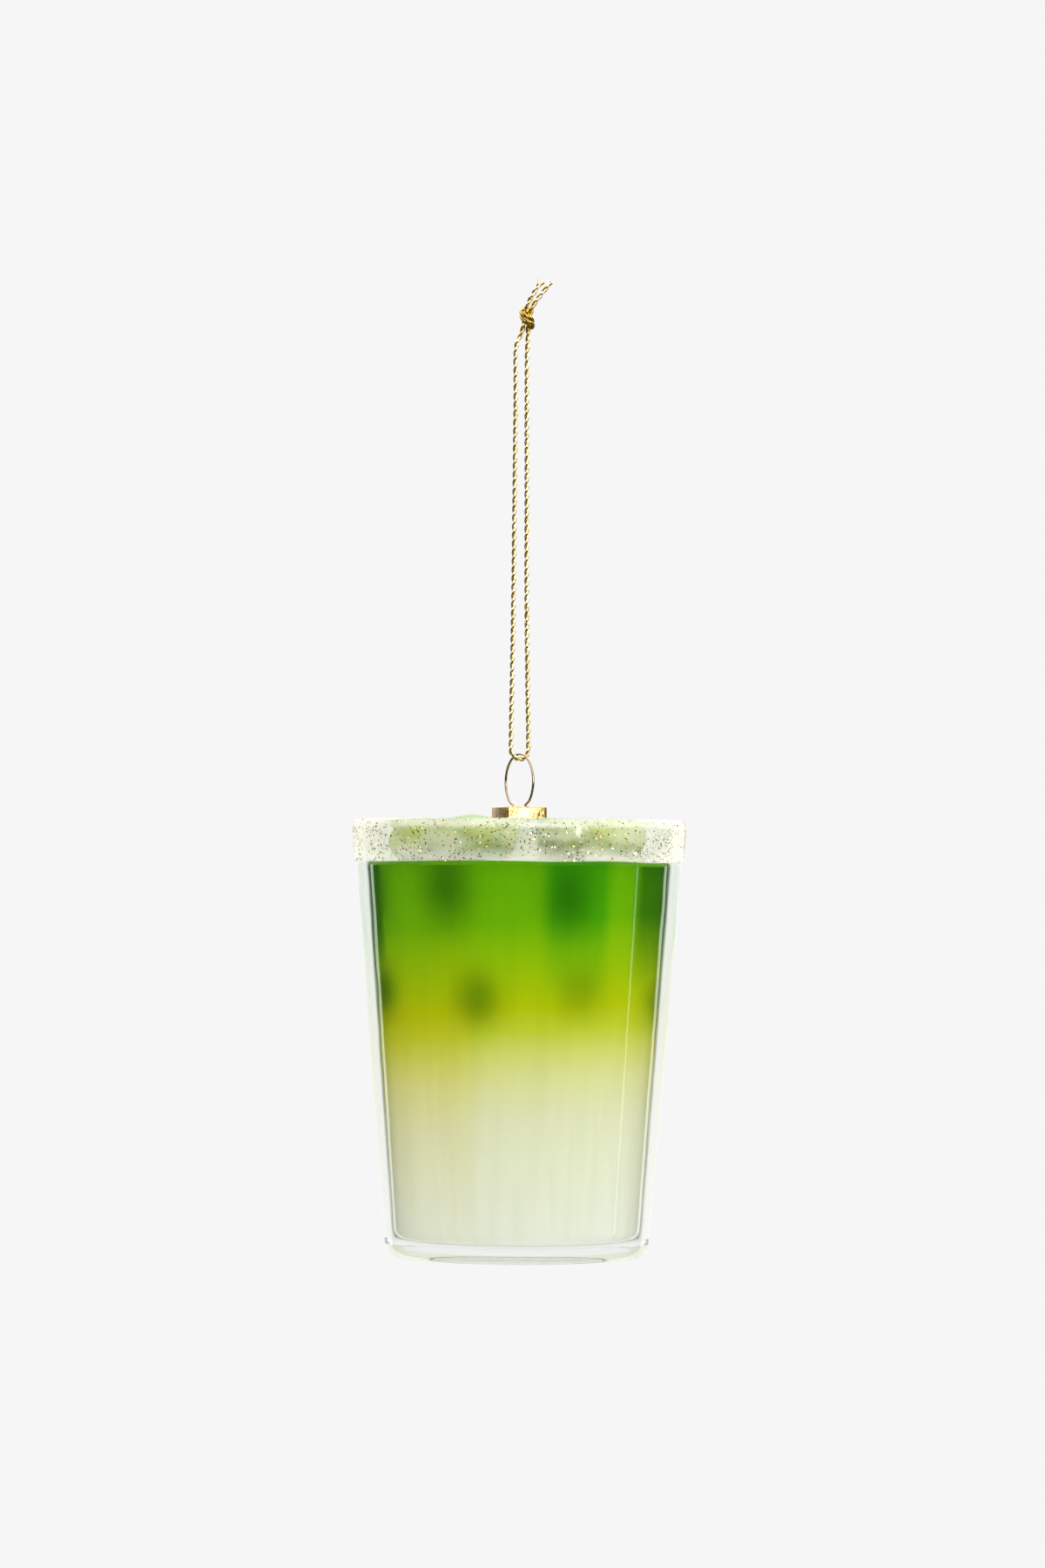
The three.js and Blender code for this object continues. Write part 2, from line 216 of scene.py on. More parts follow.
# The painted studio, in degrees round from the front and up from level. Strips, and boxes both
# ways, are (centre, half width, soft edge). What turns away from the eye starts to show the
# backdrop at the first bearing and shows it in full at the second.
STUDIO_EDGES = (147.5, 3, 2)
STUDIO_LAMP = (101, 0.5, 0.9)
STUDIO_LIP_BOX = ((18, 13, 3), (11, 9, 3))
STUDIO_CAP_BOX = ((42, 1.2, 1.5), (2, 6, 3))
STUDIO_AWAY = (137, 142)
TENT_SIDES = (92, 30, 30)
TENT_RIGHT = (88, 30, 25)
SUN_SIZE = 35
SUN_TILT = 65
SUN_TURN = 22

# Soft darker spots on the lacquer: height, bearings from the front, half width, half height
SPOT_ROWS = [
    (-112.4, (-28, 19, 62, 112, 158, 205, 250, 292), 5.8, 7.4),
    (-133.0, (-66, -16, 25, 70, 116, 162, 207, 250), 5.4, 5.6),
]
SPOT_DEPTHS = [
    (0.92, 0.8, 1.0, 0.9, 0.8, 0.9, 1.0, 0.9),
    (1.0, 0.8, 0.5, 0.6, 0.9, 0.6, 0.5, 0.8),
]
SPOT_FALL = 1.15
SPOT_WIDTH_CHANGE = 0.12
SPOT_HEIGHT_CHANGE = 0.8
# Broad upright bands on the lacquer, all painted light: the cool and warm bands are painted
# reflections of upright lights, the shade bands painted shade at the drink's sides. Each is
# bearing, half width, height where it has faded out, depth
COOL_REFLECTION_BANDS = [(23.0, 15.5, -133.0, 0.8), (142, 16, -134.0, 0.6), (262, 14, -130.0, 0.7)]
WARM_REFLECTION_BANDS = [(-45, 32, -186.0, 1.0), (85, 22, -186.0, 0.5), (190, 34, -186.0, 0.8)]
SHADE_BANDS = [
    (-71, 10, -136.0, 1.0), (64, 17, -133.0, 1.0), (120, 8, -128.0, 0.5), (228, 12, -132.0, 0.6),
]
BAND_SOFT_SHARE = 0.35
BAND_FADE_SHARE = 0.6

# The lacquer's sprayed tones, from the foot (0) to the top (1), between those in its settings
LACQUER_TONES = [
    (0.2, "#E5E5CB"), (0.33, "#E0DFBA"), (0.425, "#DBDA98"), (0.49, "#D1D36E"),
    (0.555, "#BFC830"), (0.615, "#B1BE03"), (0.78, "#83B502"), (0.84, "#6AAC01"),
]
LIME_LEVEL = 0.7


def linear(hex_colour):
    """The linear colour of a written sRGB colour."""
    parts = [int(hex_colour[i : i + 2], 16) / 255 for i in (1, 3, 5)]
    return [c / 12.92 if c <= 0.04045 else ((c + 0.055) / 1.055) ** 2.4 for c in parts]


def add(tree, kind, links=None, **settings):
    """Adds a node, with its settings, and its inputs set or linked; a colour gains its alpha."""
    node = tree.nodes.new(kind)
    for name, value in settings.items():
        setattr(node, name, value)
    for socket, value in (links or {}).items():
        target = node.inputs[socket]
        if isinstance(value, bpy.types.NodeSocket):
            tree.links.new(value, target)
        elif target.type == "RGBA" and len(value) == 3:
            target.default_value = (*value, 1.0)
        else:
            target.default_value = value
    return node


def value_of(tree, kind, links=None, **settings):
    """The first output of a new node."""
    return add(tree, kind, links, **settings).outputs[0]


def maths(tree, operation, first, second=0.0):
    return value_of(tree, "ShaderNodeMath", {0: first, 1: second}, operation=operation)


def plus(tree, first, *others):
    for other in others:
        first = maths(tree, "ADD", first, other)
    return first


def minus(tree, first, second):
    return maths(tree, "SUBTRACT", first, second)


def times(tree, first, second):
    return maths(tree, "MULTIPLY", first, second)


def greater(tree, first, second):
    return maths(tree, "MAXIMUM", first, second)


def lesser(tree, first, second):
    return maths(tree, "MINIMUM", first, second)


def vector_maths(tree, operation, first, second):
    """A vector with another vector, or a vector scaled by a number."""
    links = {0: first, "Scale" if operation == "SCALE" else 1: second}
    return value_of(tree, "ShaderNodeVectorMath", links, operation=operation)


def between(tree, value, low, high, bottom=0.0, top=1.0):
    """A smooth step of a value from low to high."""
    links = {"Value": value, "From Min": low, "From Max": high, "To Min": bottom, "To Max": top}
    return value_of(tree, "ShaderNodeMapRange", links, interpolation_type="SMOOTHSTEP")


def object_place(tree):
    return add(tree, "ShaderNodeTexCoord").outputs["Object"]


def axis_of(tree, vector, axis="Z"):
    return add(tree, "ShaderNodeSeparateXYZ", {0: vector}).outputs[axis]


def stretched(tree, place, along):
    """A place whose height counts only as a share, so that grain runs up the piece."""
    return value_of(tree, "ShaderNodeMapping", {"Vector": place, "Scale": (1.0, 1.0, along)})


def mark_of(tree, name, output="Fac"):
    """What a mesh keeps at each point under a name."""
    return add(tree, "ShaderNodeAttribute", attribute_name=name).outputs[output]


def noise_of(tree, place, grain_mm, detail=2.0, roughness=0.5):
    """Noise whose grains are about grain_mm across."""
    links = {"Vector": place, "Scale": 1 / (grain_mm * MM), "Detail": detail}
    return add(tree, "ShaderNodeTexNoise", {**links, "Roughness": roughness}).outputs["Fac"]


def bump_of(tree, height, depth_mm, strength):
    links = {"Height": height, "Distance": depth_mm * MM, "Strength": strength}
    return value_of(tree, "ShaderNodeBump", links)


def ramp_of(tree, value, stops):
    """A colour ramp; stops are (position, linear colour)."""
    node = add(tree, "ShaderNodeValToRGB", {"Fac": value})
    elements = node.color_ramp.elements
    while len(elements) < len(stops):
        elements.new(0.5)
    for element, (position, colour) in zip(elements, stops):
        element.position = position
        element.color = (*colour, 1.0)
    return node.outputs["Color"]


def mixed(tree, share, first, second, way="MIX"):
    """A mix of two colours, the second one by its share."""
    links = {"Factor": share, 6: first, 7: second}
    return add(tree, "ShaderNodeMix", links, data_type="RGBA", blend_type=way).outputs[2]


def principled(tree, links):
    return value_of(tree, "ShaderNodeBsdfPrincipled", links)


def either(tree, share, first, second):
    """A mix of two shaders, the second one by its share."""
    return value_of(tree, "ShaderNodeMixShader", {0: share, 1: first, 2: second})


def clear_of(tree, tint):
    return value_of(tree, "ShaderNodeBsdfTransparent", {"Color": tint})


def light_path(tree):
    return add(tree, "ShaderNodeLightPath").outputs


def material(name):
    """Makes a function that builds a shader in a tree into one that gives the named material."""

    def wrap(build):
        def make(settings):
            made = bpy.data.materials.new(name)
            made.use_nodes = True
            made.node_tree.nodes.clear()
            surface = build(made.node_tree, settings)
            add(made.node_tree, "ShaderNodeOutputMaterial", {"Surface": surface})
            return made

        return make

    return wrap


def linked(made):
    """Puts an object into the scene."""
    bpy.context.scene.collection.objects.link(made)
    return made


def mesh_object(name, points_mm, edges=(), faces=()):
    """An object at the origin, with its place in its mesh."""
    data = bpy.data.meshes.new(name)
    data.from_pydata([tuple(c * MM for c in p) for p in points_mm], edges, faces)
    return linked(bpy.data.objects.new(name, data))


def closed_mesh(name, points_mm, faces, finish):
    """A smooth closed piece, its doubles merged and its faces pointing outwards."""
    made = mesh_object(name, points_mm, faces=faces)
    made.data.validate()
    made.data.shade_smooth()
    made.data.materials.append(finish)
    return outward(made)


def outward(made):
    """Merges doubles and points a closed mesh's faces outwards."""
    work = bmesh.new()
    work.from_mesh(made.data)
    bmesh.ops.remove_doubles(work, verts=work.verts, dist=1e-7)
    bmesh.ops.recalc_face_normals(work, faces=work.faces)
    work.to_mesh(made.data)
    work.free()
    return made


def polar(radius, angle):
    return radius * math.cos(angle), radius * math.sin(angle)


def turned(name, profile, sides, finish, closed=False):
    """A turned shape from [radius, height] points; a radius of 0 is a pole."""
    points = []
    rings = []
    for radius, height in profile:
        if radius < 1e-6:
            rings.append([len(points)] * sides)
            points.append((0.0, 0.0, height))
            continue
        rings.append(list(range(len(points), len(points) + sides)))
        points += [(*polar(radius, 2 * math.pi * i / sides), height) for i in range(sides)]
    faces = []
    loops = rings + rings[:1] if closed else rings
    for lower, upper in zip(loops, loops[1:]):
        for i in range(sides):
            j = (i + 1) % sides
            face = list(dict.fromkeys([lower[i], lower[j], upper[j], upper[i]]))
            if len(face) > 2:
                faces.append(face)
    return closed_mesh(name, points, faces, finish)


def arc(centre, radius_x, radius_z, start, end, steps):
    angles = [math.radians(start + (end - start) * i / steps) for i in range(steps + 1)]
    return [
        (centre[0] + radius_x * math.cos(a), centre[1] + radius_z * math.sin(a)) for a in angles
    ]


def line_points(start, end, spacing):
    """Points between two points, without the last one."""
    count = max(1, round(math.dist(start, end) / spacing))
    return [tuple(a + (b - a) * i / count for a, b in zip(start, end)) for i in range(count)]


def filled(profile, spacing):
    """A profile with its long sides cut into short ones."""
    points = []
    for start, end in zip(profile, profile[1:]):
        points += line_points(start, end, spacing)
    return points + [profile[-1]]


def tumbler_radius(z):
    return FOOT_RADIUS + (RIM_RADIUS - FOOT_RADIUS) * (z - FOOT_Z) / (RIM_Z - FOOT_Z)


def drink_radius(z):
    foot = tumbler_radius(DRINK_FOOT_Z) - TUMBLER_WALL - FOOT_SIDE_GAP
    top = tumbler_radius(DRINK_TOP_Z) - TUMBLER_WALL - TOP_SIDE_GAP
    return foot + (top - foot) * (z - DRINK_FOOT_Z) / (DRINK_TOP_Z - DRINK_FOOT_Z)


def leaning_corner(radius_at, z, corner, turn, steps=10):
    """A round corner of a level face and a leaning side; turn is +1 at the top, -1 at the foot."""
    lean = math.atan(radius_at(z + 1) - radius_at(z))
    reach = corner * (1 + turn * math.sin(lean)) / math.cos(lean)
    centre = (radius_at(z) - reach, z - turn * corner)
    side = -math.degrees(lean)
    start, end = (side, 90) if turn > 0 else (-90, side)
    return arc(centre, corner, corner, start, end, steps)


def drink_outline(inset):
    """The drink's outline moved inwards, from the axis underneath round to the top face."""

    def side(z):
        return drink_radius(z) - inset

    shoulder = max(DRINK_SHOULDER - inset, LEAST_SHOULDER)
    return [
        (0, DRINK_FOOT_Z + inset),
        *leaning_corner(side, DRINK_FOOT_Z + inset, DRINK_HEEL - inset, -1),
        *leaning_corner(side, DRINK_TOP_Z - inset, shoulder, 1),
    ]


def lip_points(steps):
    """The tumbler's fire-polished lip, from outside over the crest to inside."""
    lip_z = RIM_Z - LIP_HEIGHT
    outer = TUMBLER_WALL * LIP_SHARE
    inner = TUMBLER_WALL - outer
    crest = tumbler_radius(lip_z) - outer
    return [
        *arc((crest, lip_z), outer, LIP_HEIGHT, 0, 90, steps),
        *arc((crest, RIM_Z - inner), inner, inner, 90, 180, steps // 2)[1:],
    ]


def smooth_route(points, spacing):
    """A smooth curve through points, as evenly spaced points."""
    route = np.array(points, float)
    ends = (2 * route[0] - route[1], 2 * route[-1] - route[-2])
    p = np.vstack([ends[0], route, ends[1]])
    fine = []
    for i in range(1, len(p) - 2):
        steps = np.maximum(np.linalg.norm(np.diff(p[i - 1 : i + 3], axis=0), axis=1), 1e-9) ** 0.5
        t0, t1, t2, t3 = np.concatenate([[0], np.cumsum(steps)])
        t = np.linspace(t1, t2, 24, endpoint=False)[:, None]
        a1 = (t1 - t) / (t1 - t0) * p[i - 1] + (t - t0) / (t1 - t0) * p[i]
        a2 = (t2 - t) / (t2 - t1) * p[i] + (t - t1) / (t2 - t1) * p[i + 1]
        a3 = (t3 - t) / (t3 - t2) * p[i + 1] + (t - t2) / (t3 - t2) * p[i + 2]
        b1 = (t2 - t) / (t2 - t0) * a1 + (t - t0) / (t2 - t0) * a2
        b2 = (t3 - t) / (t3 - t1) * a2 + (t - t1) / (t3 - t1) * a3
        fine.append((t2 - t) / (t2 - t1) * b1 + (t - t1) / (t2 - t1) * b2)
    fine = np.vstack([*fine, route[-1]])
    reach = np.concatenate([[0], np.cumsum(np.linalg.norm(np.diff(fine, axis=0), axis=1))])
    places = np.linspace(0, reach[-1], max(2, round(reach[-1] / spacing)) + 1)
    return np.column_stack([np.interp(places, reach, fine[:, k]) for k in range(3)])


def in_plane(route, turn):
    """A flat route stood upright, at a turn about the vertical."""
    return [(*polar(d, math.radians(turn)), z) for d, z in route]


def polyline(name, route_mm):
    """An object whose mesh is one line of edges along a route."""
    return mesh_object(name, route_mm, edges=[(i, i + 1) for i in range(len(route_mm) - 1)])


def node_group(name, inputs):
    """An empty Geometry Nodes tree; returns the tree, its input node's outputs and its ids."""
    tree = bpy.data.node_groups.new(name, "GeometryNodeTree")

    def socket(label, way, kind):
        made = tree.interface.new_socket(name=label, in_out=way, socket_type=f"NodeSocket{kind}")
        return made.identifier

    socket("Geometry", "INPUT", "Geometry")
    socket("Geometry", "OUTPUT", "Geometry")
    names = {label: socket(label, "INPUT", kind) for label, kind in inputs.items()}
    return tree, add(tree, "NodeGroupInput").outputs, names


def close_group(tree, geometry, finish):
    real = value_of(tree, "GeometryNodeRealizeInstances", {"Geometry": geometry})
    painted = value_of(tree, "GeometryNodeSetMaterial", {"Geometry": real, "Material": finish})
    add(tree, "NodeGroupOutput", {"Geometry": painted})


def stored(tree, geometry, name, value, kind, domain):
    """Keeps a value on a geometry under a name, for its material."""
    links = {"Geometry": geometry, "Name": name, "Value": value}
    return value_of(
        tree, "GeometryNodeStoreNamedAttribute", links, data_type=kind, domain=domain
    )


def grown(made, group, values):
    """Runs a Geometry Nodes tree on an object and keeps the result as its plain mesh."""
    tree, names = group
    modifier = made.modifiers.new("grow", "NODES")
    modifier.node_group = tree
    for label, value in values.items():
        modifier[names[label]] = value
    applied(made)


def applied(made):
    """Keeps the result of an object's modifiers as its plain mesh."""
    bpy.context.view_layer.update()
    graph = bpy.context.evaluated_depsgraph_get()
    result = bpy.data.meshes.new_from_object(
        made.evaluated_get(graph), preserve_all_data_layers=True, depsgraph=graph
    )
    made.modifiers.clear()
    made.data = result
    result.name = made.name


def strand_tree(name, finish):
    """Plies twisted round a path, each of them a round strand, with their ends spread a little."""
    tree, given, names = node_group(
        name,
        {
            "Plies": "Int", "Ply Radius": "Float", "Ply Offset": "Float", "Lay Length": "Float",
            "Fray Length": "Float", "Fray Spread": "Float", "Sides": "Int",
        },
    )
    fray = given["Fray Length"]
    curve = value_of(tree, "GeometryNodeMeshToCurve", {"Mesh": given["Geometry"]})
    copies = add(
        tree, "GeometryNodeDuplicateElements",
        {"Geometry": curve, "Amount": given["Plies"]}, domain="SPLINE",
    ).outputs
    along = add(tree, "GeometryNodeSplineParameter").outputs["Length"]
    whole = add(tree, "GeometryNodeSplineLength").outputs["Length"]
    # The twist stops where the cut ends have come loose
    laid = lesser(tree, greater(tree, along, fray), minus(tree, whole, fray))
    turns = maths(tree, "DIVIDE", laid, given["Lay Length"])
    share = maths(tree, "DIVIDE", copies["Duplicate Index"], given["Plies"])
    angle = times(tree, plus(tree, turns, share), 2 * math.pi)
    normal = value_of(tree, "GeometryNodeInputNormal")
    tangent = value_of(tree, "GeometryNodeInputTangent")
    side = vector_maths(tree, "CROSS_PRODUCT", tangent, normal)
    parts = [
        vector_maths(tree, "SCALE", vector, maths(tree, wave, angle))
        for vector, wave in ((normal, "COSINE"), (side, "SINE"))
    ]
    out = vector_maths(tree, "ADD", *parts)
    to_end = lesser(tree, along, minus(tree, whole, along))
    near = greater(tree, minus(tree, 1.0, maths(tree, "DIVIDE", to_end, fray)), 0.0)
    reach = plus(tree, given["Ply Offset"], times(tree, near, given["Fray Spread"]))
    offset = vector_maths(tree, "SCALE", out, reach)
    marked = stored(tree, copies["Geometry"], "along", along, "FLOAT", "POINT")
    twisted = value_of(tree, "GeometryNodeSetPosition", {"Geometry": marked, "Offset": offset})
    ring = value_of(
        tree, "GeometryNodeCurvePrimitiveCircle",
        {"Resolution": given["Sides"], "Radius": given["Ply Radius"]}, mode="RADIUS",
    )
    place = value_of(tree, "GeometryNodeInputPosition")
    around = stored(tree, ring, "around", place, "FLOAT_VECTOR", "POINT")
    swept = value_of(
        tree, "GeometryNodeCurveToMesh",
        {"Curve": twisted, "Profile Curve": around, "Fill Caps": True},
    )
    close_group(tree, value_of(tree, "GeometryNodeSetShadeSmooth", {"Geometry": swept}), finish)
    return tree, names


def flake_tree(name, finish):
    """Small six-sided flakes scattered over a surface in clumps, each tilted its own way."""
    inputs = {label: "Float" for label in ("Density", "Radius", "Thickness", "Tilt")}
    tree, given, names = node_group(name, {**inputs, "Seed": "Int"})
    clumps = noise_of(tree, value_of(tree, "GeometryNodeInputPosition"), 6.0)
    crowd = between(tree, clumps, 0.35, 0.7, bottom=0.15)
    scatter = add(
        tree, "GeometryNodeDistributePointsOnFaces",
        {
            "Mesh": given["Geometry"], "Density": times(tree, given["Density"], crowd),
            "Seed": given["Seed"],
        },
        distribute_method="RANDOM",
    ).outputs
    flake = value_of(
        tree, "GeometryNodeMeshCylinder",
        {"Vertices": 6, "Radius": given["Radius"], "Depth": given["Thickness"]},
    )

    def lean_to(tilt, turn):
        return value_of(tree, "ShaderNodeCombineXYZ", {0: tilt, 1: tilt, 2: turn})

    def chance(low, high, seed):
        links = {2: low, 3: high, "Seed": seed}
        return add(tree, "FunctionNodeRandomValue", links, data_type="FLOAT").outputs[1]

    tilt = given["Tilt"]
    high = lean_to(tilt, math.pi)
    low = lean_to(times(tree, tilt, -1.0), -math.pi)
    lean = value_of(
        tree, "FunctionNodeRandomValue", {0: low, 1: high, "Seed": given["Seed"]},
        data_type="FLOAT_VECTOR",
    )
    turn = value_of(tree, "FunctionNodeEulerToRotation", {"Euler": lean})
    stand = value_of(
        tree, "FunctionNodeRotateRotation",
        {"Rotation": scatter["Rotation"], "Rotate By": turn}, rotation_space="LOCAL",
    )
    laid = value_of(
        tree, "GeometryNodeInstanceOnPoints",
        {
            "Points": scatter["Points"], "Instance": flake, "Rotation": stand,
            "Scale": chance(0.55, 1.1, seed=3),
        },
    )
    toned = stored(tree, laid, "flake_tone", chance(0.0, 1.0, seed=11), "FLOAT", "INSTANCE")
    flat = value_of(
        tree, "GeometryNodeSetShadeSmooth", {"Geometry": toned, "Shade Smooth": False}
    )
    close_group(tree, flat, finish)
    return tree, names


def settle(made, body, slot, *nodes):
    """Hangs a piece on its body and hides the nodes that it stands for; the slot is not used."""
    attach(made, body)
    if nodes:
        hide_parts(*nodes)


# Materials


@material("metallised_gold_twist")
def gold_twist(tree, settings):
    # Metallised film yarn, twisted: warm gold with pale sparkle where a ply turns to the light
    place = object_place(tree)
    # The grain is drawn out along each ply, as film filaments are
    length = value_of(
        tree, "ShaderNodeCombineXYZ", {"Z": times(tree, mark_of(tree, "along"), 0.12)}
    )
    grain_at = vector_maths(tree, "ADD", mark_of(tree, "around", "Vector"), length)
    fibres = noise_of(tree, grain_at, 0.12)
    patches = between(tree, noise_of(tree, place, 0.6, detail=1.0), 0.35, 0.65)
    colour = mixed(tree, patches, settings.shade_colour, settings.colour)
    # Painted shade: the tight knot is given a deeper gold, standing in for the gold reflecting
    # itself
    height = axis_of(tree, place)
    foot, top = (
        between(tree, height, low * MM, high * MM)
        for low, high in (KNOT_SHADE_FOOT, KNOT_SHADE_TOP)
    )
    colour = mixed(tree, times(tree, foot, top), colour, settings.knot_shade_colour)
    return principled(tree, {
        "Base Color": colour, "Metallic": 1.0, "Roughness": 0.2,
        "Normal": bump_of(tree, fibres, 0.03, 0.4),
    })


@material("polished_rose_gold_wire")
def rose_gold_wire(tree, settings):
    # Copper-plated spring wire, drawn and polished: brown rose gold with thin bright lines
    wear = noise_of(tree, object_place(tree), 0.9, detail=3.0)
    return principled(tree, {
        "Base Color": settings.wire_colour, "Metallic": 1.0,
        "Roughness": between(tree, wear, 0.3, 0.8, 0.12, 0.26),
        "Normal": bump_of(tree, wear, 0.02, 0.3),
    })


@material("stamped_gold_plate")
def stamped_gold(tree, settings):
    # Thin stamped tinplate with a gold plate: uneven bright facets on brown gold sides
    place = object_place(tree)
    dents = noise_of(tree, place, 1.6, detail=1.0)
    grit = noise_of(tree, place, 0.35)
    height = plus(tree, times(tree, dents, 4.0), grit)
    # Painted shade: the low points of the grit bump take the darker cap shade
    colour = mixed(tree, between(tree, grit, 0.35, 0.7), settings.cap_shade, settings.cap_colour)
    return principled(tree, {
        "Base Color": colour, "Metallic": 1.0,
        "Roughness": between(tree, grit, 0.3, 0.7, 0.12, 0.3),
        "Normal": bump_of(tree, height, 0.03, 0.35),
    })


def see_through(tree, shader, tint, mirrors=True):
    """Lets light, and reflections too, pass a clear wall, so that what is inside stays lit."""
    path = light_path(tree)
    passing = greater(tree, path["Is Shadow Ray"], path["Is Diffuse Ray"])
    if mirrors:
        # A reflection that starts outside the wall passes; one inside it stays for two turns
        inside = maths(tree, "MODULO", path["Transmission Depth"], 2.0)
        spent = maths(tree, "GREATER_THAN", path["Glossy Depth"], 1.5)
        leaving = greater(tree, minus(tree, 1.0, inside), spent)
        passing = greater(tree, passing, times(tree, path["Is Glossy Ray"], leaving))
    return either(tree, passing, shader, clear_of(tree, linear(tint)))


@material("fire_polished_glass")
def fire_polished_glass(tree, settings):
    # Soda-lime glass, mould-blown and fire-polished: clear, with slow waves in its reflections
    waves = noise_of(tree, object_place(tree), 11.0, detail=1.0)
    glass = principled(tree, {
        "Base Color": settings.glass_colour, "Roughness": 0.0, "IOR": 1.5,
        "Transmission Weight": 1.0, "Normal": bump_of(tree, waves, 0.25, 0.25),
    })
    return see_through(tree, glass, "#FAFCFA")


@material("lamp_blown_glass")
def blown_glass(tree, settings):
    # Thin lamp-blown glass of the drink vessel, seen only at its neck, milky from the spray
    waves = noise_of(tree, object_place(tree), 2.5, detail=1.0)
    glass = principled(tree, {
        "Base Color": settings.neck_colour, "Roughness": 0.1, "IOR": 1.5,
        "Transmission Weight": 0.1, "Normal": bump_of(tree, waves, 0.1, 0.3),
    })
    return see_through(tree, glass, "#F5F8F2", mirrors=False)


@material("frosted_varnish")
def frost_coat(tree, settings):
    # Frosted varnish with fine grit: a milky veil with soft streaks, closer towards its lower edge
    place = object_place(tree)
    streaks = noise_of(tree, stretched(tree, place, 2.4), 9.0, detail=3.0, roughness=0.55)
    grit = noise_of(tree, place, 0.4)
    frost = principled(tree, {
        "Base Color": settings.frost_colour, "Roughness": 0.25, "IOR": 1.45,
        "Sheen Weight": 0.3, "Sheen Roughness": 0.4, "Normal": bump_of(tree, grit, 0.02, 0.3),
    })
    height = axis_of(tree, place)
    foot = DRINK_TOP_Z * MM
    lip = RIM_Z * MM
    closer = between(tree, height, foot, foot + 3.2 * MM, 0.26, 0.0)
    whiter = between(tree, height, lip - 2.2 * MM, lip - 1.2 * MM, 0.0, 0.22)
    veil = between(tree, streaks, 0.3, 0.7, 0.05, 0.24)
    # The glassy coat looks closer where it is seen aslant, with a white sheen
    facing = add(tree, "ShaderNodeLayerWeight").outputs["Facing"]
    aslant = times(tree, between(tree, facing, 0.35, 0.7), 0.45)
    cover = plus(tree, veil, greater(tree, closer, whiter), aslant)
    # It holds back less of the light that falls through it
    shade = minus(tree, 1.0, times(tree, light_path(tree)["Is Shadow Ray"], 0.6))
    return either(tree, times(tree, cover, shade), clear_of(tree, (0.99, 0.99, 0.98)), frost)


@material("metallised_film_glitter")
def glitter_film(tree, settings):
    # Die-cut metallised film: gold, champagne and bronze flakes that flash one by one
    tones = [
        (0.0, linear("#4A3214")), (0.3, linear("#7A5826")), (0.45, linear("#D9A06A")),
        (0.62, settings.flake_colour), (1.0, linear("#FFF6DC")),
    ]
    colour = ramp_of(tree, mark_of(tree, "flake_tone"), tones)
    return principled(tree, {"Base Color": colour, "Metallic": 1.0, "Roughness": 0.25})


@material("sprayed_green_cream_lacquer")
def drink_lacquer(tree, settings):
    # Sprayed acrylic lacquer under gloss: leaf green melting through lime into warm cream
    place = object_place(tree)
    # The sprayed layers drift up and down by a millimetre or two, and lean a little to one side
    drift = minus(tree, noise_of(tree, place, 22.0), 0.5)
    lean = times(tree, axis_of(tree, place, "X"), -0.07)
    moved = plus(tree, axis_of(tree, place), times(tree, drift, 3.0 * MM), lean)
    level = value_of(
        tree, "ShaderNodeMapRange",
        {"Value": moved, "From Min": DRINK_FOOT_Z * MM, "From Max": DRINK_TOP_Z * MM},
    )
    tones = [(share, linear(tone)) for share, tone in LACQUER_TONES]
    tones += [
        (0.0, settings.foot_colour), (LIME_LEVEL, settings.middle_colour),
        (1.0, settings.top_colour),
    ]
    colour = ramp_of(tree, level, sorted(tones, key=lambda stop: stop[0]))
    # Spray streaks run down the wall
    runs = noise_of(tree, stretched(tree, place, 0.02), 2.4)
    streaks = between(tree, runs, 0.35, 0.75, top=0.3)
    # Multiplied in: spray streaks, painted reflections in the cool and warm bands, and the spots
    # with painted shade
    layers = [
        (streaks, linear("#ECF0DC")),
        (mark_of(tree, "warm_reflection"), settings.warm_reflection_colour),
        (mark_of(tree, "cool_reflection"), settings.cool_reflection_colour),
        (mark_of(tree, "spots_and_shade"), settings.spot_and_shade_colour),
    ]
    for share, layer in layers:
        colour = mixed(tree, share, colour, layer, way="MULTIPLY")
    waves = bump_of(tree, noise_of(tree, place, 9.0, detail=1.0), 0.12, 0.25)
    links = {"Base Color": colour, "Roughness": 0.03, "IOR": 1.5, "Normal": waves}
    return principled(tree, links)


@material("tinted_cast_acrylic")
def cast_ice(tree, settings):
    # Cast clear acrylic tinted yellow-green: glowing edges, a cloudy core and a wet gloss
    place = object_place(tree)
    cloud = between(tree, noise_of(tree, place, 5.0), 0.35, 0.7)
    colour = mixed(tree, cloud, settings.ice_colour, settings.ice_pale)
    # The thin crests that stand over the rim take the drink's deeper green
    crest = between(tree, axis_of(tree, place), *(z * MM for z in ICE_CREST_TONE))
    colour = mixed(tree, crest, colour, settings.ice_crest)
    ice = principled(tree, {
        "Base Color": colour, "Roughness": 0.35, "IOR": 1.45, "Transmission Weight": 0.06,
        "Specular IOR Level": 0.12,
        "Normal": bump_of(tree, noise_of(tree, place, 2.2, detail=1.0), 0.1, 0.25),
    })
    passing = times(tree, light_path(tree)["Is Shadow Ray"], 0.7)
    return either(tree, passing, ice, clear_of(tree, settings.ice_colour))


@material("clear_adhesive")
def clear_cement(tree, settings):
    # Cured clear adhesive: a glossy, slightly cloudy pad
    cloud = noise_of(tree, object_place(tree), 3.0)
    return principled(tree, {
        "Base Color": linear("#F2F2EA"), "IOR": 1.47, "Transmission Weight": 0.3,
        "Roughness": between(tree, cloud, 0.3, 0.7, 0.2, 0.5),
        "Normal": bump_of(tree, cloud, 0.2, 0.3),
    })


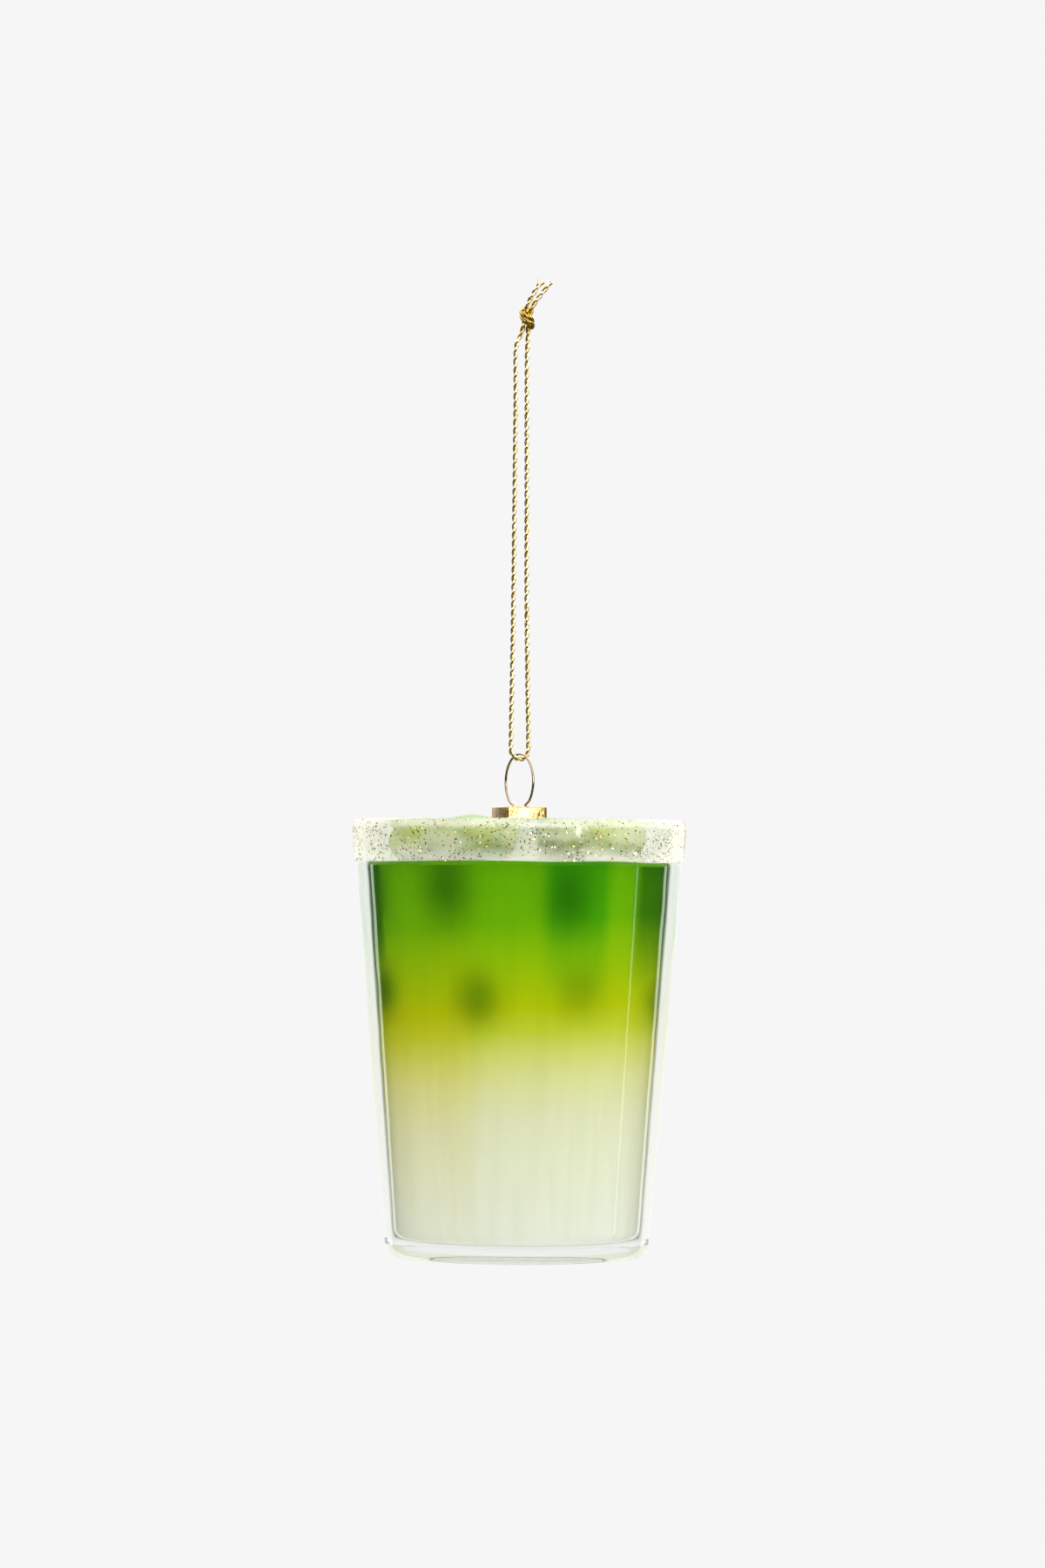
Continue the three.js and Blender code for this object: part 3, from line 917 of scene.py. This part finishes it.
@material("studio_paper")
def floor_paper(tree, settings):
    # Matt studio paper: plain pale grey white that runs out into the backdrop
    place = object_place(tree)
    away = vector_maths(tree, "MULTIPLY", place, (1.0, 1.0, 0.0))
    reach = add(tree, "ShaderNodeVectorMath", {0: away}, operation="LENGTH").outputs["Value"]
    edge = between(tree, reach, settings.floor_radius * 0.45, settings.floor_radius * 0.97)
    # To the eye the lit paper is as bright as the backdrop; it still throws light back as white
    seen = light_path(tree)["Is Camera Ray"]
    paper = principled(tree, {
        "Base Color": mixed(tree, seen, linear("#F4F4F4"), settings.floor_colour),
        "Roughness": 0.9, "Specular IOR Level": 0.1,
        "Normal": bump_of(tree, noise_of(tree, place, 2.0), 0.05, 0.2),
    })
    glow = value_of(
        tree, "ShaderNodeEmission", {"Color": [settings.backdrop_level] * 3, "Strength": 1.0}
    )
    return either(tree, edge, paper, glow)


# Properties


def colour_property(name, description, hex_colour):
    return FloatVectorProperty(
        name=name, description=description, default=linear(hex_colour),
        subtype="COLOR", size=3, min=0.0, max=1.0,
    )


def length_property(name, description, default_mm):
    return FloatProperty(
        name=name, description=description, default=default_mm * MM,
        min=0.0, unit="LENGTH", subtype="DISTANCE", precision=5,
    )


class CordSettings(bpy.types.PropertyGroup):
    """Sizes and colours of the hanging cord."""

    diameter: length_property("Diameter", "Across the twisted plies", 1.0)
    lay: length_property("Lay", "Length of one full twist", 3.5)
    fray: length_property("Fray", "Length of the loosened cut ends", 0.9)
    plies: IntProperty(name="Plies", description="Number of plies", default=2, min=2, max=4)
    colour: colour_property("Gold", "Lit gold of the film", "#E8DBB6")
    shade_colour: colour_property("Shade", "Deeper gold between the plies", "#BDA05E")
    # The knot colour is painted shade over the tight knot
    knot_shade_colour: colour_property("Knot", "Deeper gold of the tight knot", "#AC8E45")


class MetalSettings(bpy.types.PropertyGroup):
    """Colours of the cap and the wire."""

    wire_colour: colour_property("Wire", "Rose gold of the wire", "#94806B")
    cap_colour: colour_property("Cap", "Bright gold of the cap", "#D8B87E")
    # The cap shade is painted shade in the low points of the grit
    cap_shade: colour_property("Cap shade", "Brown gold in the cap's dents", "#94703A")


class GlassSettings(bpy.types.PropertyGroup):
    """Colours of the glass, the frosted band and the glitter."""

    glass_colour: colour_property("Glass", "Tint of the clear glass", "#FBFDFB")
    neck_colour: colour_property("Neck", "Milky glass of the drink's neck", "#EFF2DC")
    frost_colour: colour_property("Frost", "Warm white of the frosted varnish", "#F8F9E8")
    flake_colour: colour_property("Flakes", "Gold of the glitter", "#E3BC6B")
    flake_size: length_property("Flake size", "Across a glitter flake", 0.36)
    flake_thickness: length_property("Flake thickness", "Of the glitter film", 0.03)
    flake_count: IntProperty(
        name="Flakes", description="Glitter flakes per square centimetre", default=260, min=0
    )
    seed: IntProperty(name="Seed", description="Lays the glitter another way", default=7)


class DrinkSettings(bpy.types.PropertyGroup):
    """Colours of the drink and the ice."""

    top_colour: colour_property("Top", "Leaf green at the drink's top", "#5FA600")
    middle_colour: colour_property("Middle", "Lime green half way", "#99BA02")
    foot_colour: colour_property("Foot", "Cream at the drink's foot", "#E9E8DE")
    # The spots colour also darkens the shade bands, painted shade at the drink's sides
    spot_and_shade_colour: colour_property("Spots", "What the soft spots do to the green", "#8EAC50")
    # The cool and warm bands are painted reflections of upright lights
    cool_reflection_colour: colour_property("Cool bands", "What the cooler bands do to the green", "#86DEFF")
    warm_reflection_colour: colour_property("Warm bands", "What the warmer bands do to the green", "#FFF5DC")
    ice_colour: colour_property("Ice", "Yellow green of the ice", "#97AF18")
    ice_pale: colour_property("Ice core", "Paler, cloudy parts of the ice", "#B2C244")
    ice_crest: colour_property("Ice crest", "Deeper green of the ice over the rim", "#6F9A12")


class StageSettings(bpy.types.PropertyGroup):
    """The studio round the ornament."""

    floor_drop: length_property("Floor", "Depth of the floor under the hanging point", 400.0)
    floor_radius: length_property("Floor radius", "Reach of the floor", 1300.0)
    floor_colour: colour_property("Floor colour", "The paper as the eye sees it", "#DBDBDB")
    backdrop_level: FloatProperty(
        name="Backdrop", description="Level of the white backdrop", default=0.922, min=0.0, max=1.0
    )
    ambient: FloatProperty(
        name="Ambient", description="Even light from all round", default=0.93, min=0.0
    )
    key: FloatProperty(name="Key", description="Strength of the soft key light", default=0.6, min=0)


class OrnamentSettings(bpy.types.PropertyGroup):
    """Everything that can be changed on the ornament."""

    cord: PointerProperty(type=CordSettings)
    metal: PointerProperty(type=MetalSettings)
    glass: PointerProperty(type=GlassSettings)
    drink: PointerProperty(type=DrinkSettings)
    stage: PointerProperty(type=StageSettings)


# Operators


class ORNAMENT_OT_camera(bpy.types.Operator):
    """Sets the camera level with the tumbler's rim, in front of the ornament"""

    bl_idname = "ornament.camera"
    bl_label = "Camera"

    def execute(self, context):
        data = bpy.data.cameras.new("camera")
        data.lens = CAMERA_LENS
        data.sensor_width = 36.0
        data.clip_start = 0.01
        made = linked(bpy.data.objects.new("camera", data))
        pitch = Matrix.Rotation(math.radians(90 + CAMERA_PITCH), 4, "X")
        roll = Matrix.Rotation(math.radians(CAMERA_ROLL), 4, "Z")
        made.matrix_world = Matrix.Translation(Vector(CAMERA_PLACE) * MM) @ pitch @ roll
        context.scene.camera = made
        return {"FINISHED"}


def knot_points(strand):
    """One leg's way through the knot, from its underside to where its tail leaves the top."""
    wrap = []
    for i in range(KNOT_WRAP_STEPS + 1):
        share = i / KNOT_WRAP_STEPS
        angle = math.radians(KNOT_WRAP[0] + (KNOT_WRAP[1] - KNOT_WRAP[0]) * share)
        height = KNOT_WRAP_Z[0] + (KNOT_WRAP_Z[1] - KNOT_WRAP_Z[0]) * share
        across, deep = polar(KNOT_WRAP_RADIUS, angle)
        wrap.append(
            (KNOT_CENTRE[0] + across, KNOT_CENTRE[1] + deep, height + KNOT_STRAND_SHIFTS[strand])
        )
    return KNOT_RISE[strand] + wrap + KNOT_EXIT[strand]


def cord_route():
    """The whole cord from the left tail's end, down, round the bight and up to the right tail's."""
    left, bight, right = (in_plane(part, LOOP_TURN) for part in (LEFT_LEG, BIGHT, RIGHT_LEG))
    return [
        *reversed(knot_points(0) + LEFT_TAIL), *left, *bight, *reversed(right),
        *knot_points(1), *RIGHT_TAIL,
    ]


class ORNAMENT_OT_cord(bpy.types.Operator):
    """Makes the one twisted cord with its loop, knot and cut tails"""

    bl_idname = "ornament.cord"
    bl_label = "Hanging cord"

    def execute(self, context):
        sizes = context.scene.ornament.cord
        route = smooth_route(cord_route(), CORD_STEP)
        made = polyline("hanging_cord", route)
        plies = {
            "Plies": sizes.plies, "Lay Length": sizes.lay, "Fray Length": sizes.fray,
            "Ply Radius": sizes.diameter * PLY_RADIUS_SHARE,
            "Ply Offset": sizes.diameter * PLY_OFFSET_SHARE,
            "Fray Spread": sizes.diameter * FRAY_SPREAD_SHARE, "Sides": CORD_SIDES,
        }
        grown(made, strand_tree("twisted_cord", gold_twist(sizes)), plies)
        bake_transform(made)
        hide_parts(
            "cord_knot", "cord_tail_left", "cord_tail_right",
            "cord_leg_left", "cord_leg_right", "cord_bight",
        )
        return {"FINISHED"}


class ORNAMENT_OT_hanger_wire(bpy.types.Operator):
    """Makes the wire ring with its two sprung legs"""

    bl_idname = "ornament.hanger_wire"
    bl_label = "Hanger wire"

    def execute(self, context):
        ring_z = CAP_TOP_Z + math.sqrt(RING_RADIUS**2 - LEG_OFFSET**2)
        leg = [(offset, CAP_TOP_Z + height) for offset, height in WIRE_LEG]
        turns = [math.radians(a) for a in range(RING_JOIN, 361 - RING_JOIN, RING_STEP)]
        ring = [
            (RING_RADIUS * math.sin(turn), ring_z - RING_RADIUS * math.cos(turn)) for turn in turns
        ]
        other = [(-offset, z) for offset, z in reversed(leg)]
        route = smooth_route(in_plane(leg + ring + other, RING_TURN), WIRE_STEP)
        made = polyline("hanger_wire_ring", route)
        metal = rose_gold_wire(context.scene.ornament.metal)
        one_ply = {
            "Plies": 1, "Ply Radius": WIRE_RADIUS * MM, "Ply Offset": 0.0, "Lay Length": 1.0,
            "Fray Length": 1.0 * MM, "Fray Spread": 0.0, "Sides": WIRE_SIDES,
        }
        grown(made, strand_tree("drawn_wire", metal), one_ply)
        settle(made, "hanger", "rose_gold_wire", "hanger_wire")
        return {"FINISHED"}


def rounded_square(side, corner, steps=10):
    """A square with round corners and sides that bow out a little, as a stamping has them."""
    points = []
    reach = side / 2 - corner - CAP_BOW / 2
    for k in range(4):
        corners = arc((reach, reach), corner, corner, 0, 90, steps)
        for i in range(1, steps):
            along = reach * (1 - 2 * i / steps)
            bow = CAP_BOW * (1 - (along / reach) ** 2)
            corners.append((along, reach + corner + bow))
        c, s = polar(1.0, math.radians(90 * k))
        points += [(x * c - y * s, x * s + y * c) for x, y in corners]
    return points


class ORNAMENT_OT_crown_cap(bpy.types.Operator):
    """Makes the stamped square cap with its two wire holes"""

    bl_idname = "ornament.crown_cap"
    bl_label = "Crown cap"

    def execute(self, context):
        metal = stamped_gold(context.scene.ornament.metal)
        # Levels are [inset, height], up the outside and then down the inside
        outside = [(0.0, -CAP_HEIGHT * share) for share in CAP_SIDE_SHARES]
        edge = arc((0, 0), CAP_TOP_ROUND, CAP_TOP_ROUND, 0, 90, 6)
        outside += [(CAP_TOP_ROUND - r, z - CAP_TOP_ROUND) for r, z in edge]
        inside = [
            (CAP_SHEET + CAP_INNER_BEVEL, -CAP_SHEET), (CAP_SHEET, -CAP_SHEET - CAP_INNER_BEVEL),
            (CAP_SHEET, -CAP_HEIGHT),
        ]
        points = []
        rings = []
        for inset, z in outside + inside:
            corner = max(CAP_CORNER - inset, CAP_LEAST_CORNER)
            ring = rounded_square(CAP_SIDE - 2 * inset, corner)
            rings.append(list(range(len(points), len(points) + len(ring))))
            points += [(x, y, z + CAP_TOP_Z) for x, y in ring]
        last = len(outside) - 1
        faces = [rings[last], rings[last + 1]]
        pairs = [(i, i + 1) for i in range(len(rings) - 1) if i != last]
        for lower, upper in pairs + [(len(rings) - 1, 0)]:
            below, above = rings[lower], rings[upper]
            for i in range(len(below)):
                j = (i + 1) % len(below)
                faces.append([below[i], below[j], above[j], above[i]])
        made = closed_mesh("square_crown_cap", points, faces, metal)
        made.data.transform(Matrix.Rotation(math.radians(CAP_TURN), 4, "Z"))
        rod = [(0, -1), (CAP_HOLE_RADIUS, -1), (CAP_HOLE_RADIUS, 1), (0, 1)]
        for side in (1, -1):
            across, deep = polar(side * LEG_OFFSET, math.radians(RING_TURN))
            hole = turned("hole", [(r, CAP_TOP_Z + z) for r, z in rod], CAP_HOLE_SIDES, metal)
            hole.data.transform(Matrix.Translation((across * MM, deep * MM, 0)))
            cut = made.modifiers.new("hole", "BOOLEAN")
            cut.operation = "DIFFERENCE"
            cut.solver = "EXACT"
            cut.object = hole
            applied(made)
            bpy.data.objects.remove(hole)
        made.data.set_sharp_from_angle(angle=math.radians(CAP_SHARP_ANGLE))
        settle(made, "hanger", "gold_cap", "crown_cap")
        return {"FINISHED"}


class ORNAMENT_OT_tumbler(bpy.types.Operator):
    """Makes the clear glass tumbler"""

    bl_idname = "ornament.tumbler"
    bl_label = "Glass tumbler"

    def execute(self, context):
        glass = fire_polished_glass(context.scene.ornament.glass)

        def inside(z):
            return tumbler_radius(z) - TUMBLER_WALL

        corner = leaning_corner(inside, FLOOR_Z, FOOT_CORNER, -1, 12)
        profile = [
            (0, FOOT_Z), (FOOT_RADIUS * 0.5, FOOT_Z),
            *leaning_corner(tumbler_radius, FOOT_Z, FOOT_CORNER, -1, 12),
            *lip_points(12),
            *reversed(corner),
            (corner[0][0] * 0.5, FLOOR_Z), (0, FLOOR_Z),
        ]
        made = turned("clear_tumbler", filled(profile, TUMBLER_STEP), TUMBLER_SIDES, glass)
        settle(made, "drink", "clear_glass", "glass_tumbler")
        return {"FINISHED"}


class ORNAMENT_OT_glitter_band(bpy.types.Operator):
    """Makes the frosted coat under the rim and the glitter on it"""

    bl_idname = "ornament.glitter_band"
    bl_label = "Frosted glitter band"

    def execute(self, context):
        sizes = context.scene.ornament.glass
        frost = frost_coat(sizes)
        lip_z = RIM_Z - LIP_HEIGHT
        middle = tumbler_radius(lip_z) - TUMBLER_WALL / 2
        lip = [(r, z) for r, z in lip_points(24) if lip_z <= z <= BAND_TOP_Z and r > middle]
        wall = line_points((tumbler_radius(BAND_FOOT_Z), BAND_FOOT_Z), lip[0], BAND_STEP)
        inner = [(r + SKIN_GAP, z) for r, z in wall + lip]
        outer = [(r + BAND_THICKNESS, z) for r, z in inner]
        coat = turned("frosted_rim_coat", inner + outer[::-1], BAND_SIDES, frost, closed=True)
        # The sprayed coat's lower edge wanders a little, along the leaning wall
        for vertex in coat.data.vertices:
            rise = vertex.co.z / MM - BAND_FOOT_Z
            if rise < EDGE_REACH:
                angle = math.atan2(vertex.co.y, vertex.co.x)
                shift = noise.noise((*polar(EDGE_WAVES, angle), 0.3)) * EDGE_WANDER * MM
                shift *= 1 - rise / EDGE_REACH
                vertex.co.z += shift
                vertex.co.xy *= 1 + TUMBLER_LEAN * shift / math.hypot(vertex.co.x, vertex.co.y)
        settle(coat, "drink", "glitter_frost", "rim_glitter_band")
        flakes = turned("rim_glitter_flakes", filled(outer, FLAKE_CARRIER_STEP), BAND_SIDES, frost)
        scatter = {
            "Density": sizes.flake_count / 1e-4, "Radius": sizes.flake_size / 2,
            "Thickness": sizes.flake_thickness, "Tilt": math.radians(FLAKE_TILT),
            "Seed": sizes.seed,
        }
        grown(flakes, flake_tree("glitter_scatter", glitter_film(sizes)), scatter)
        settle(flakes, "drink", "glitter_frost")
        return {"FINISHED"}


class ORNAMENT_OT_drink(bpy.types.Operator):
    """Makes the blown-glass drink vessel, its lacquer and the cement under it"""

    bl_idname = "ornament.drink"
    bl_label = "Drink"

    def execute(self, context):
        settings = context.scene.ornament
        glass = blown_glass(settings.glass)
        outer_inset = LACQUER_THICKNESS + SKIN_GAP
        inner_inset = outer_inset + VESSEL_WALL
        fillet = (NECK_RADIUS + NECK_FILLET, DRINK_TOP_Z - outer_inset + NECK_FILLET)
        edge = (NECK_RADIUS - NECK_WALL / 2, NECK_TOP_Z - NECK_WALL / 2)
        profile = [
            *drink_outline(outer_inset),
            *arc(fillet, NECK_FILLET, NECK_FILLET, 270, 180, 8),
            *arc(edge, NECK_WALL / 2, NECK_WALL / 2, 0, 180, 8),
            (NECK_RADIUS - NECK_WALL, DRINK_TOP_Z - inner_inset),
            *reversed(drink_outline(inner_inset)),
        ]
        vessel = turned("blown_drink_vessel", filled(profile, VESSEL_STEP), VESSEL_SIDES, glass)
        settle(vessel, "drink", "blown_glass", "drink_vessel")

        paint = drink_lacquer(settings.drink)
        opening = NECK_RADIUS + NECK_FILLET + SKIN_GAP
        coat = [
            *drink_outline(0.0), (opening, DRINK_TOP_Z),
            (opening, DRINK_TOP_Z - LACQUER_THICKNESS),
            *reversed(drink_outline(LACQUER_THICKNESS)),
        ]
        lacquer = turned("green_cream_lacquer", filled(coat, LACQUER_STEP), LACQUER_SIDES, paint)
        mark_tones(lacquer.data)
        settle(lacquer, "drink", "green_cream_lacquer", "drink_lacquer")

        middle = (PAD_BOTTOM_Z + PAD_TOP_Z) / 2
        half = (PAD_TOP_Z - PAD_BOTTOM_Z) / 2
        pad_profile = [
            (0, PAD_BOTTOM_Z), (PAD_RADIUS * 0.6, PAD_BOTTOM_Z),
            *arc((PAD_RADIUS - half, middle), half, half, -90, 90, 8),
            (PAD_RADIUS * 0.6, PAD_TOP_Z), (0, PAD_TOP_Z),
        ]
        cement = clear_cement(settings.drink)
        pad = turned("cement_under_drink", filled(pad_profile, PAD_STEP), PAD_SIDES, cement)
        for vertex in pad.data.vertices:
            reach = math.hypot(vertex.co.x, vertex.co.y) / (PAD_RADIUS * MM)
            angle = math.atan2(vertex.co.y, vertex.co.x)
            wander = noise.noise((*polar(PAD_WAVES, angle), 4.0)) - PAD_SHRINK
            vertex.co.xy *= 1 + PAD_WANDER * wander * reach**3
        settle(pad, "drink", "clear_cement", "cement_pad")
        return {"FINISHED"}


def places_of(data):
    """A mesh's points as rows of an array, in metres."""
    places = np.zeros(len(data.vertices) * 3)
    data.vertices.foreach_get("co", places)
    return places.reshape(-1, 3)


def mark_tones(data):
    """Keeps how much each point lies in a soft spot, in a band of painted shade or in a band of
    painted reflection, for the lacquer.
    """
    places = places_of(data) / MM
    height = places[:, 2]
    bearing = np.degrees(np.arctan2(places[:, 0], -places[:, 1]))
    radius = np.hypot(places[:, 0], places[:, 1])

    def turn_from(centre):
        return (bearing - centre + 180) % 360 - 180

    def upright(bands):
        marked = np.zeros(len(places))
        for centre, half, end_z, depth in bands:
            inside = (half - np.abs(turn_from(centre))) / (BAND_SOFT_SHARE * half)
            down = (height - end_z) / (BAND_FADE_SHARE * (DRINK_TOP_Z - end_z))
            marked = np.maximum(marked, depth * np.clip(inside, 0, 1) * np.clip(down, 0, 1))
        return marked

    # The shade bands are painted shade at the drink's sides, darkened like the spots
    spots_and_shade = upright(SHADE_BANDS)
    for (spot_z, bearings, half_width, half_height), depths in zip(SPOT_ROWS, SPOT_DEPTHS):
        for k, (centre, depth) in enumerate(zip(bearings, depths)):
            # Each spot is a little wider or narrower, higher or lower than the next
            width = half_width * (1 + SPOT_WIDTH_CHANGE * math.sin(5.0 * k))
            across = np.radians(turn_from(centre)) * radius / width
            up = (height - spot_z - SPOT_HEIGHT_CHANGE * math.cos(3.0 * k)) / half_height
            spots_and_shade = np.maximum(spots_and_shade, depth * np.exp(-(across**2 + up**2) ** SPOT_FALL))
    side = height < DRINK_TOP_Z - 1.0
    marks = {"spots_and_shade": spots_and_shade * side, "cool_reflection": upright(COOL_REFLECTION_BANDS), "warm_reflection": upright(WARM_REFLECTION_BANDS)}
    for name, values in marks.items():
        attribute = data.attributes.new(name, "FLOAT", "POINT")
        attribute.data.foreach_set("value", values.astype(np.float32))


def pinch(data, share):
    """Draws a lump's foot in towards its own middle, so that its sides bulge."""
    places = places_of(data)
    middle = (places.min(axis=0) + places.max(axis=0)) / 2
    half = (places[:, 2].max() - places[:, 2].min()) / 2
    down = np.minimum(0, (places[:, 2] - middle[2]) / half)
    scale = 1 - share * down**2
    for k in (0, 1):
        places[:, k] = middle[k] + (places[:, k] - middle[k]) * scale
    data.vertices.foreach_set("co", places.ravel())
    data.update()


class ORNAMENT_OT_ice(bpy.types.Operator):
    """Makes the six melted ice cubes on the drink"""

    bl_idname = "ornament.ice"
    bl_label = "Ice cubes"

    def execute(self, context):
        acrylic = cast_ice(context.scene.ornament.drink)
        for number in range(1, 7):
            node = f"ice_cube_{number}"
            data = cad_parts[node].data.copy()
            data.materials.clear()
            data.materials.append(acrylic)
            made = outward(linked(bpy.data.objects.new(f"melted_{node}", data)))
            melt = made.modifiers.new("melt", "REMESH")
            melt.mode = "VOXEL"
            melt.voxel_size = ICE_VOXEL * MM
            soften = made.modifiers.new("soften", "SMOOTH")
            soften.factor = 0.5
            soften.iterations = ICE_SMOOTHING
            applied(made)
            made.data.shade_smooth()
            normals = [vertex.normal.copy() for vertex in made.data.vertices]
            apart = Vector((number * ICE_WANDER_SHIFT, 0, 0))
            for vertex, normal in zip(made.data.vertices, normals):
                free = (vertex.co.z / MM - DRINK_TOP_Z) / ICE_STAND
                wander = noise.noise(vertex.co / (ICE_WANDER_SIZE * MM) + apart)
                swell = (wander + ICE_SWELL_BASE) * ICE_SWELL * MM
                vertex.co += normal * swell * min(1.0, max(0.0, free))
                # What stands highest has melted most
                vertex.co.z -= ICE_CREST_MELT * max(0.0, vertex.co.z - ICE_CREST_Z * MM)
            pinch(made.data, ICE_PINCH)
            settle(made, "drink", "green_ice", node)
        return {"FINISHED"}


class ORNAMENT_OT_stage(bpy.types.Operator):
    """Makes the pale floor, the soft lights and the white backdrop"""

    bl_idname = "ornament.stage"
    bl_label = "Studio"

    def execute(self, context):
        settings = context.scene.ornament.stage
        reach = settings.floor_radius / MM
        drop = -settings.floor_drop / MM
        rings = [(reach * k / FLOOR_RINGS, drop) for k in range(FLOOR_RINGS + 1)]
        floor = turned("studio_floor", rings, FLOOR_SIDES, floor_paper(settings))
        if floor.data.polygons[0].normal.z < 0:
            floor.data.flip_normals()
        # Gloss and glass show the world's backdrop in place of the floor
        floor.visible_glossy = False
        floor.visible_transmission = False
        sun = bpy.data.lights.new("soft_key", "SUN")
        sun.energy = settings.key
        sun.angle = math.radians(SUN_SIZE)
        made = linked(bpy.data.objects.new("soft_key", sun))
        turn = Matrix.Rotation(math.radians(SUN_TURN), 4, "Z")
        made.matrix_world = turn @ Matrix.Rotation(math.radians(SUN_TILT), 4, "X")
        made.visible_glossy = False
        paint_world(settings)
        return {"FINISHED"}


def paint_world(settings):
    """White to the eye and through glass, an even soft light, and a painted studio for gloss."""
    world = bpy.data.worlds.new("studio")
    bpy.context.scene.world = world
    world.use_nodes = True
    tree = world.node_tree
    tree.nodes.clear()
    path = light_path(tree)
    direction = add(tree, "ShaderNodeTexCoord").outputs["Generated"]
    back = times(tree, axis_of(tree, direction, "Y"), -1.0)
    bearing = maths(tree, "ARCTAN2", axis_of(tree, direction, "X"), back)
    turned_away = maths(tree, "ABSOLUTE", bearing)
    rise = maths(tree, "ARCSINE", axis_of(tree, direction))

    def step(value, low, high, bottom=0.0, top=1.0):
        return between(tree, value, math.radians(low), math.radians(high), bottom, top)

    def strip(value, centre, half, soft):
        off = maths(tree, "ABSOLUTE", minus(tree, value, math.radians(centre)))
        return step(off, half + soft, half)

    def light_box(across, up):
        return times(tree, strip(bearing, *across), strip(rise, *up))

    def background(level, colour=(1.0, 1.0, 1.0)):
        return value_of(tree, "ShaderNodeBackground", {"Color": colour, "Strength": level})

    # Two edge strips, one thin lamp and a dim backdrop show in the lacquer behind the glass
    inner = plus(
        tree, times(tree, strip(turned_away, *STUDIO_EDGES), 1.9),
        times(tree, strip(bearing, *STUDIO_LAMP), 2.6), step(turned_away, 153, 157, top=0.3),
    )
    # The backdrop shows only in the outer surfaces, from where they turn away from the eye
    away = step(turned_away, *STUDIO_AWAY)
    deep = maths(tree, "GREATER_THAN", path["Transmission Depth"], 1.5)
    around = value_of(tree, "ShaderNodeMix", {0: deep, 2: times(tree, away, 0.95), 3: inner})
    # So do the room, what is above and below, and the light boxes of the lip and the cap
    boxes = plus(
        tree, 0.04, step(times(tree, rise, -1.0), 16, 45, top=0.35),
        times(tree, light_box(*STUDIO_LIP_BOX), 10.0),
        times(tree, light_box(*STUDIO_CAP_BOX), 30.0),
        step(rise, 8, 32, top=2.2), step(rise, -3, 2, top=0.3),
    )
    boxes = times(tree, boxes, minus(tree, 1.0, deep))
    gloss = background(plus(tree, around, 0.01, boxes))
    # A light tent, a little brighter at both sides, most of all on the right
    tent = plus(
        tree, times(tree, strip(turned_away, *TENT_SIDES), 0.4),
        times(tree, strip(bearing, *TENT_RIGHT), 0.3), 1.0,
    )
    soft = background(times(tree, tent, settings.ambient))
    lit = either(tree, path["Is Glossy Ray"], soft, gloss)
    # Light that went round inside the glass comes out white away from the eye, and dark towards it
    edge_light = greater(tree, away, step(maths(tree, "ABSOLUTE", rise), 14, 24))
    mirrored = maths(tree, "GREATER_THAN", path["Glossy Depth"], 0.5)
    shallow = maths(tree, "LESS_THAN", path["Transmission Depth"], 2.5)
    dimmed = greater(tree, times(tree, mirrored, minus(tree, shallow, edge_light)), 0.0)
    seen = background(1.0, [settings.backdrop_level] * 3)
    through = either(tree, dimmed, seen, background(1.0, (0.0, 0.0, 0.0)))
    direct = greater(tree, path["Is Camera Ray"], path["Is Transmission Ray"])
    add(tree, "ShaderNodeOutputWorld", {"Surface": either(tree, direct, lit, through)})


class ORNAMENT_PT_panel(bpy.types.Panel):
    """The ornament's settings and the operators that make its pieces"""

    bl_idname = "ORNAMENT_PT_panel"
    bl_label = "Iced Latte Ornament"
    bl_space_type = "VIEW_3D"
    bl_region_type = "UI"
    bl_category = "Ornament"

    def draw(self, context):
        settings = context.scene.ornament
        for group in ("cord", "metal", "glass", "drink", "stage"):
            box = self.layout.box()
            box.label(text=group.title())
            values = getattr(settings, group)
            for name in values.__annotations__:
                box.prop(values, name)
        for operator in OPERATORS:
            self.layout.operator(operator.bl_idname)


OPERATORS = (
    ORNAMENT_OT_camera,
    ORNAMENT_OT_cord,
    ORNAMENT_OT_hanger_wire,
    ORNAMENT_OT_crown_cap,
    ORNAMENT_OT_tumbler,
    ORNAMENT_OT_glitter_band,
    ORNAMENT_OT_drink,
    ORNAMENT_OT_ice,
    ORNAMENT_OT_stage,
)
CLASSES = (
    CordSettings,
    MetalSettings,
    GlassSettings,
    DrinkSettings,
    StageSettings,
    OrnamentSettings,
    *OPERATORS,
    ORNAMENT_PT_panel,
)


def register():
    for made in CLASSES:
        bpy.utils.register_class(made)
    bpy.types.Scene.ornament = PointerProperty(type=OrnamentSettings)


def unregister():
    del bpy.types.Scene.ornament
    for made in reversed(CLASSES):
        bpy.utils.unregister_class(made)


def main():
    register()
    bpy.context.scene.view_settings.view_transform = "Standard"
    bpy.ops.ornament.camera()
    bpy.ops.ornament.cord()
    bpy.ops.ornament.hanger_wire()
    bpy.ops.ornament.crown_cap()
    bpy.ops.ornament.tumbler()
    bpy.ops.ornament.glitter_band()
    bpy.ops.ornament.drink()
    bpy.ops.ornament.ice()
    bpy.ops.ornament.stage()


if __name__ == "__main__":
    main()
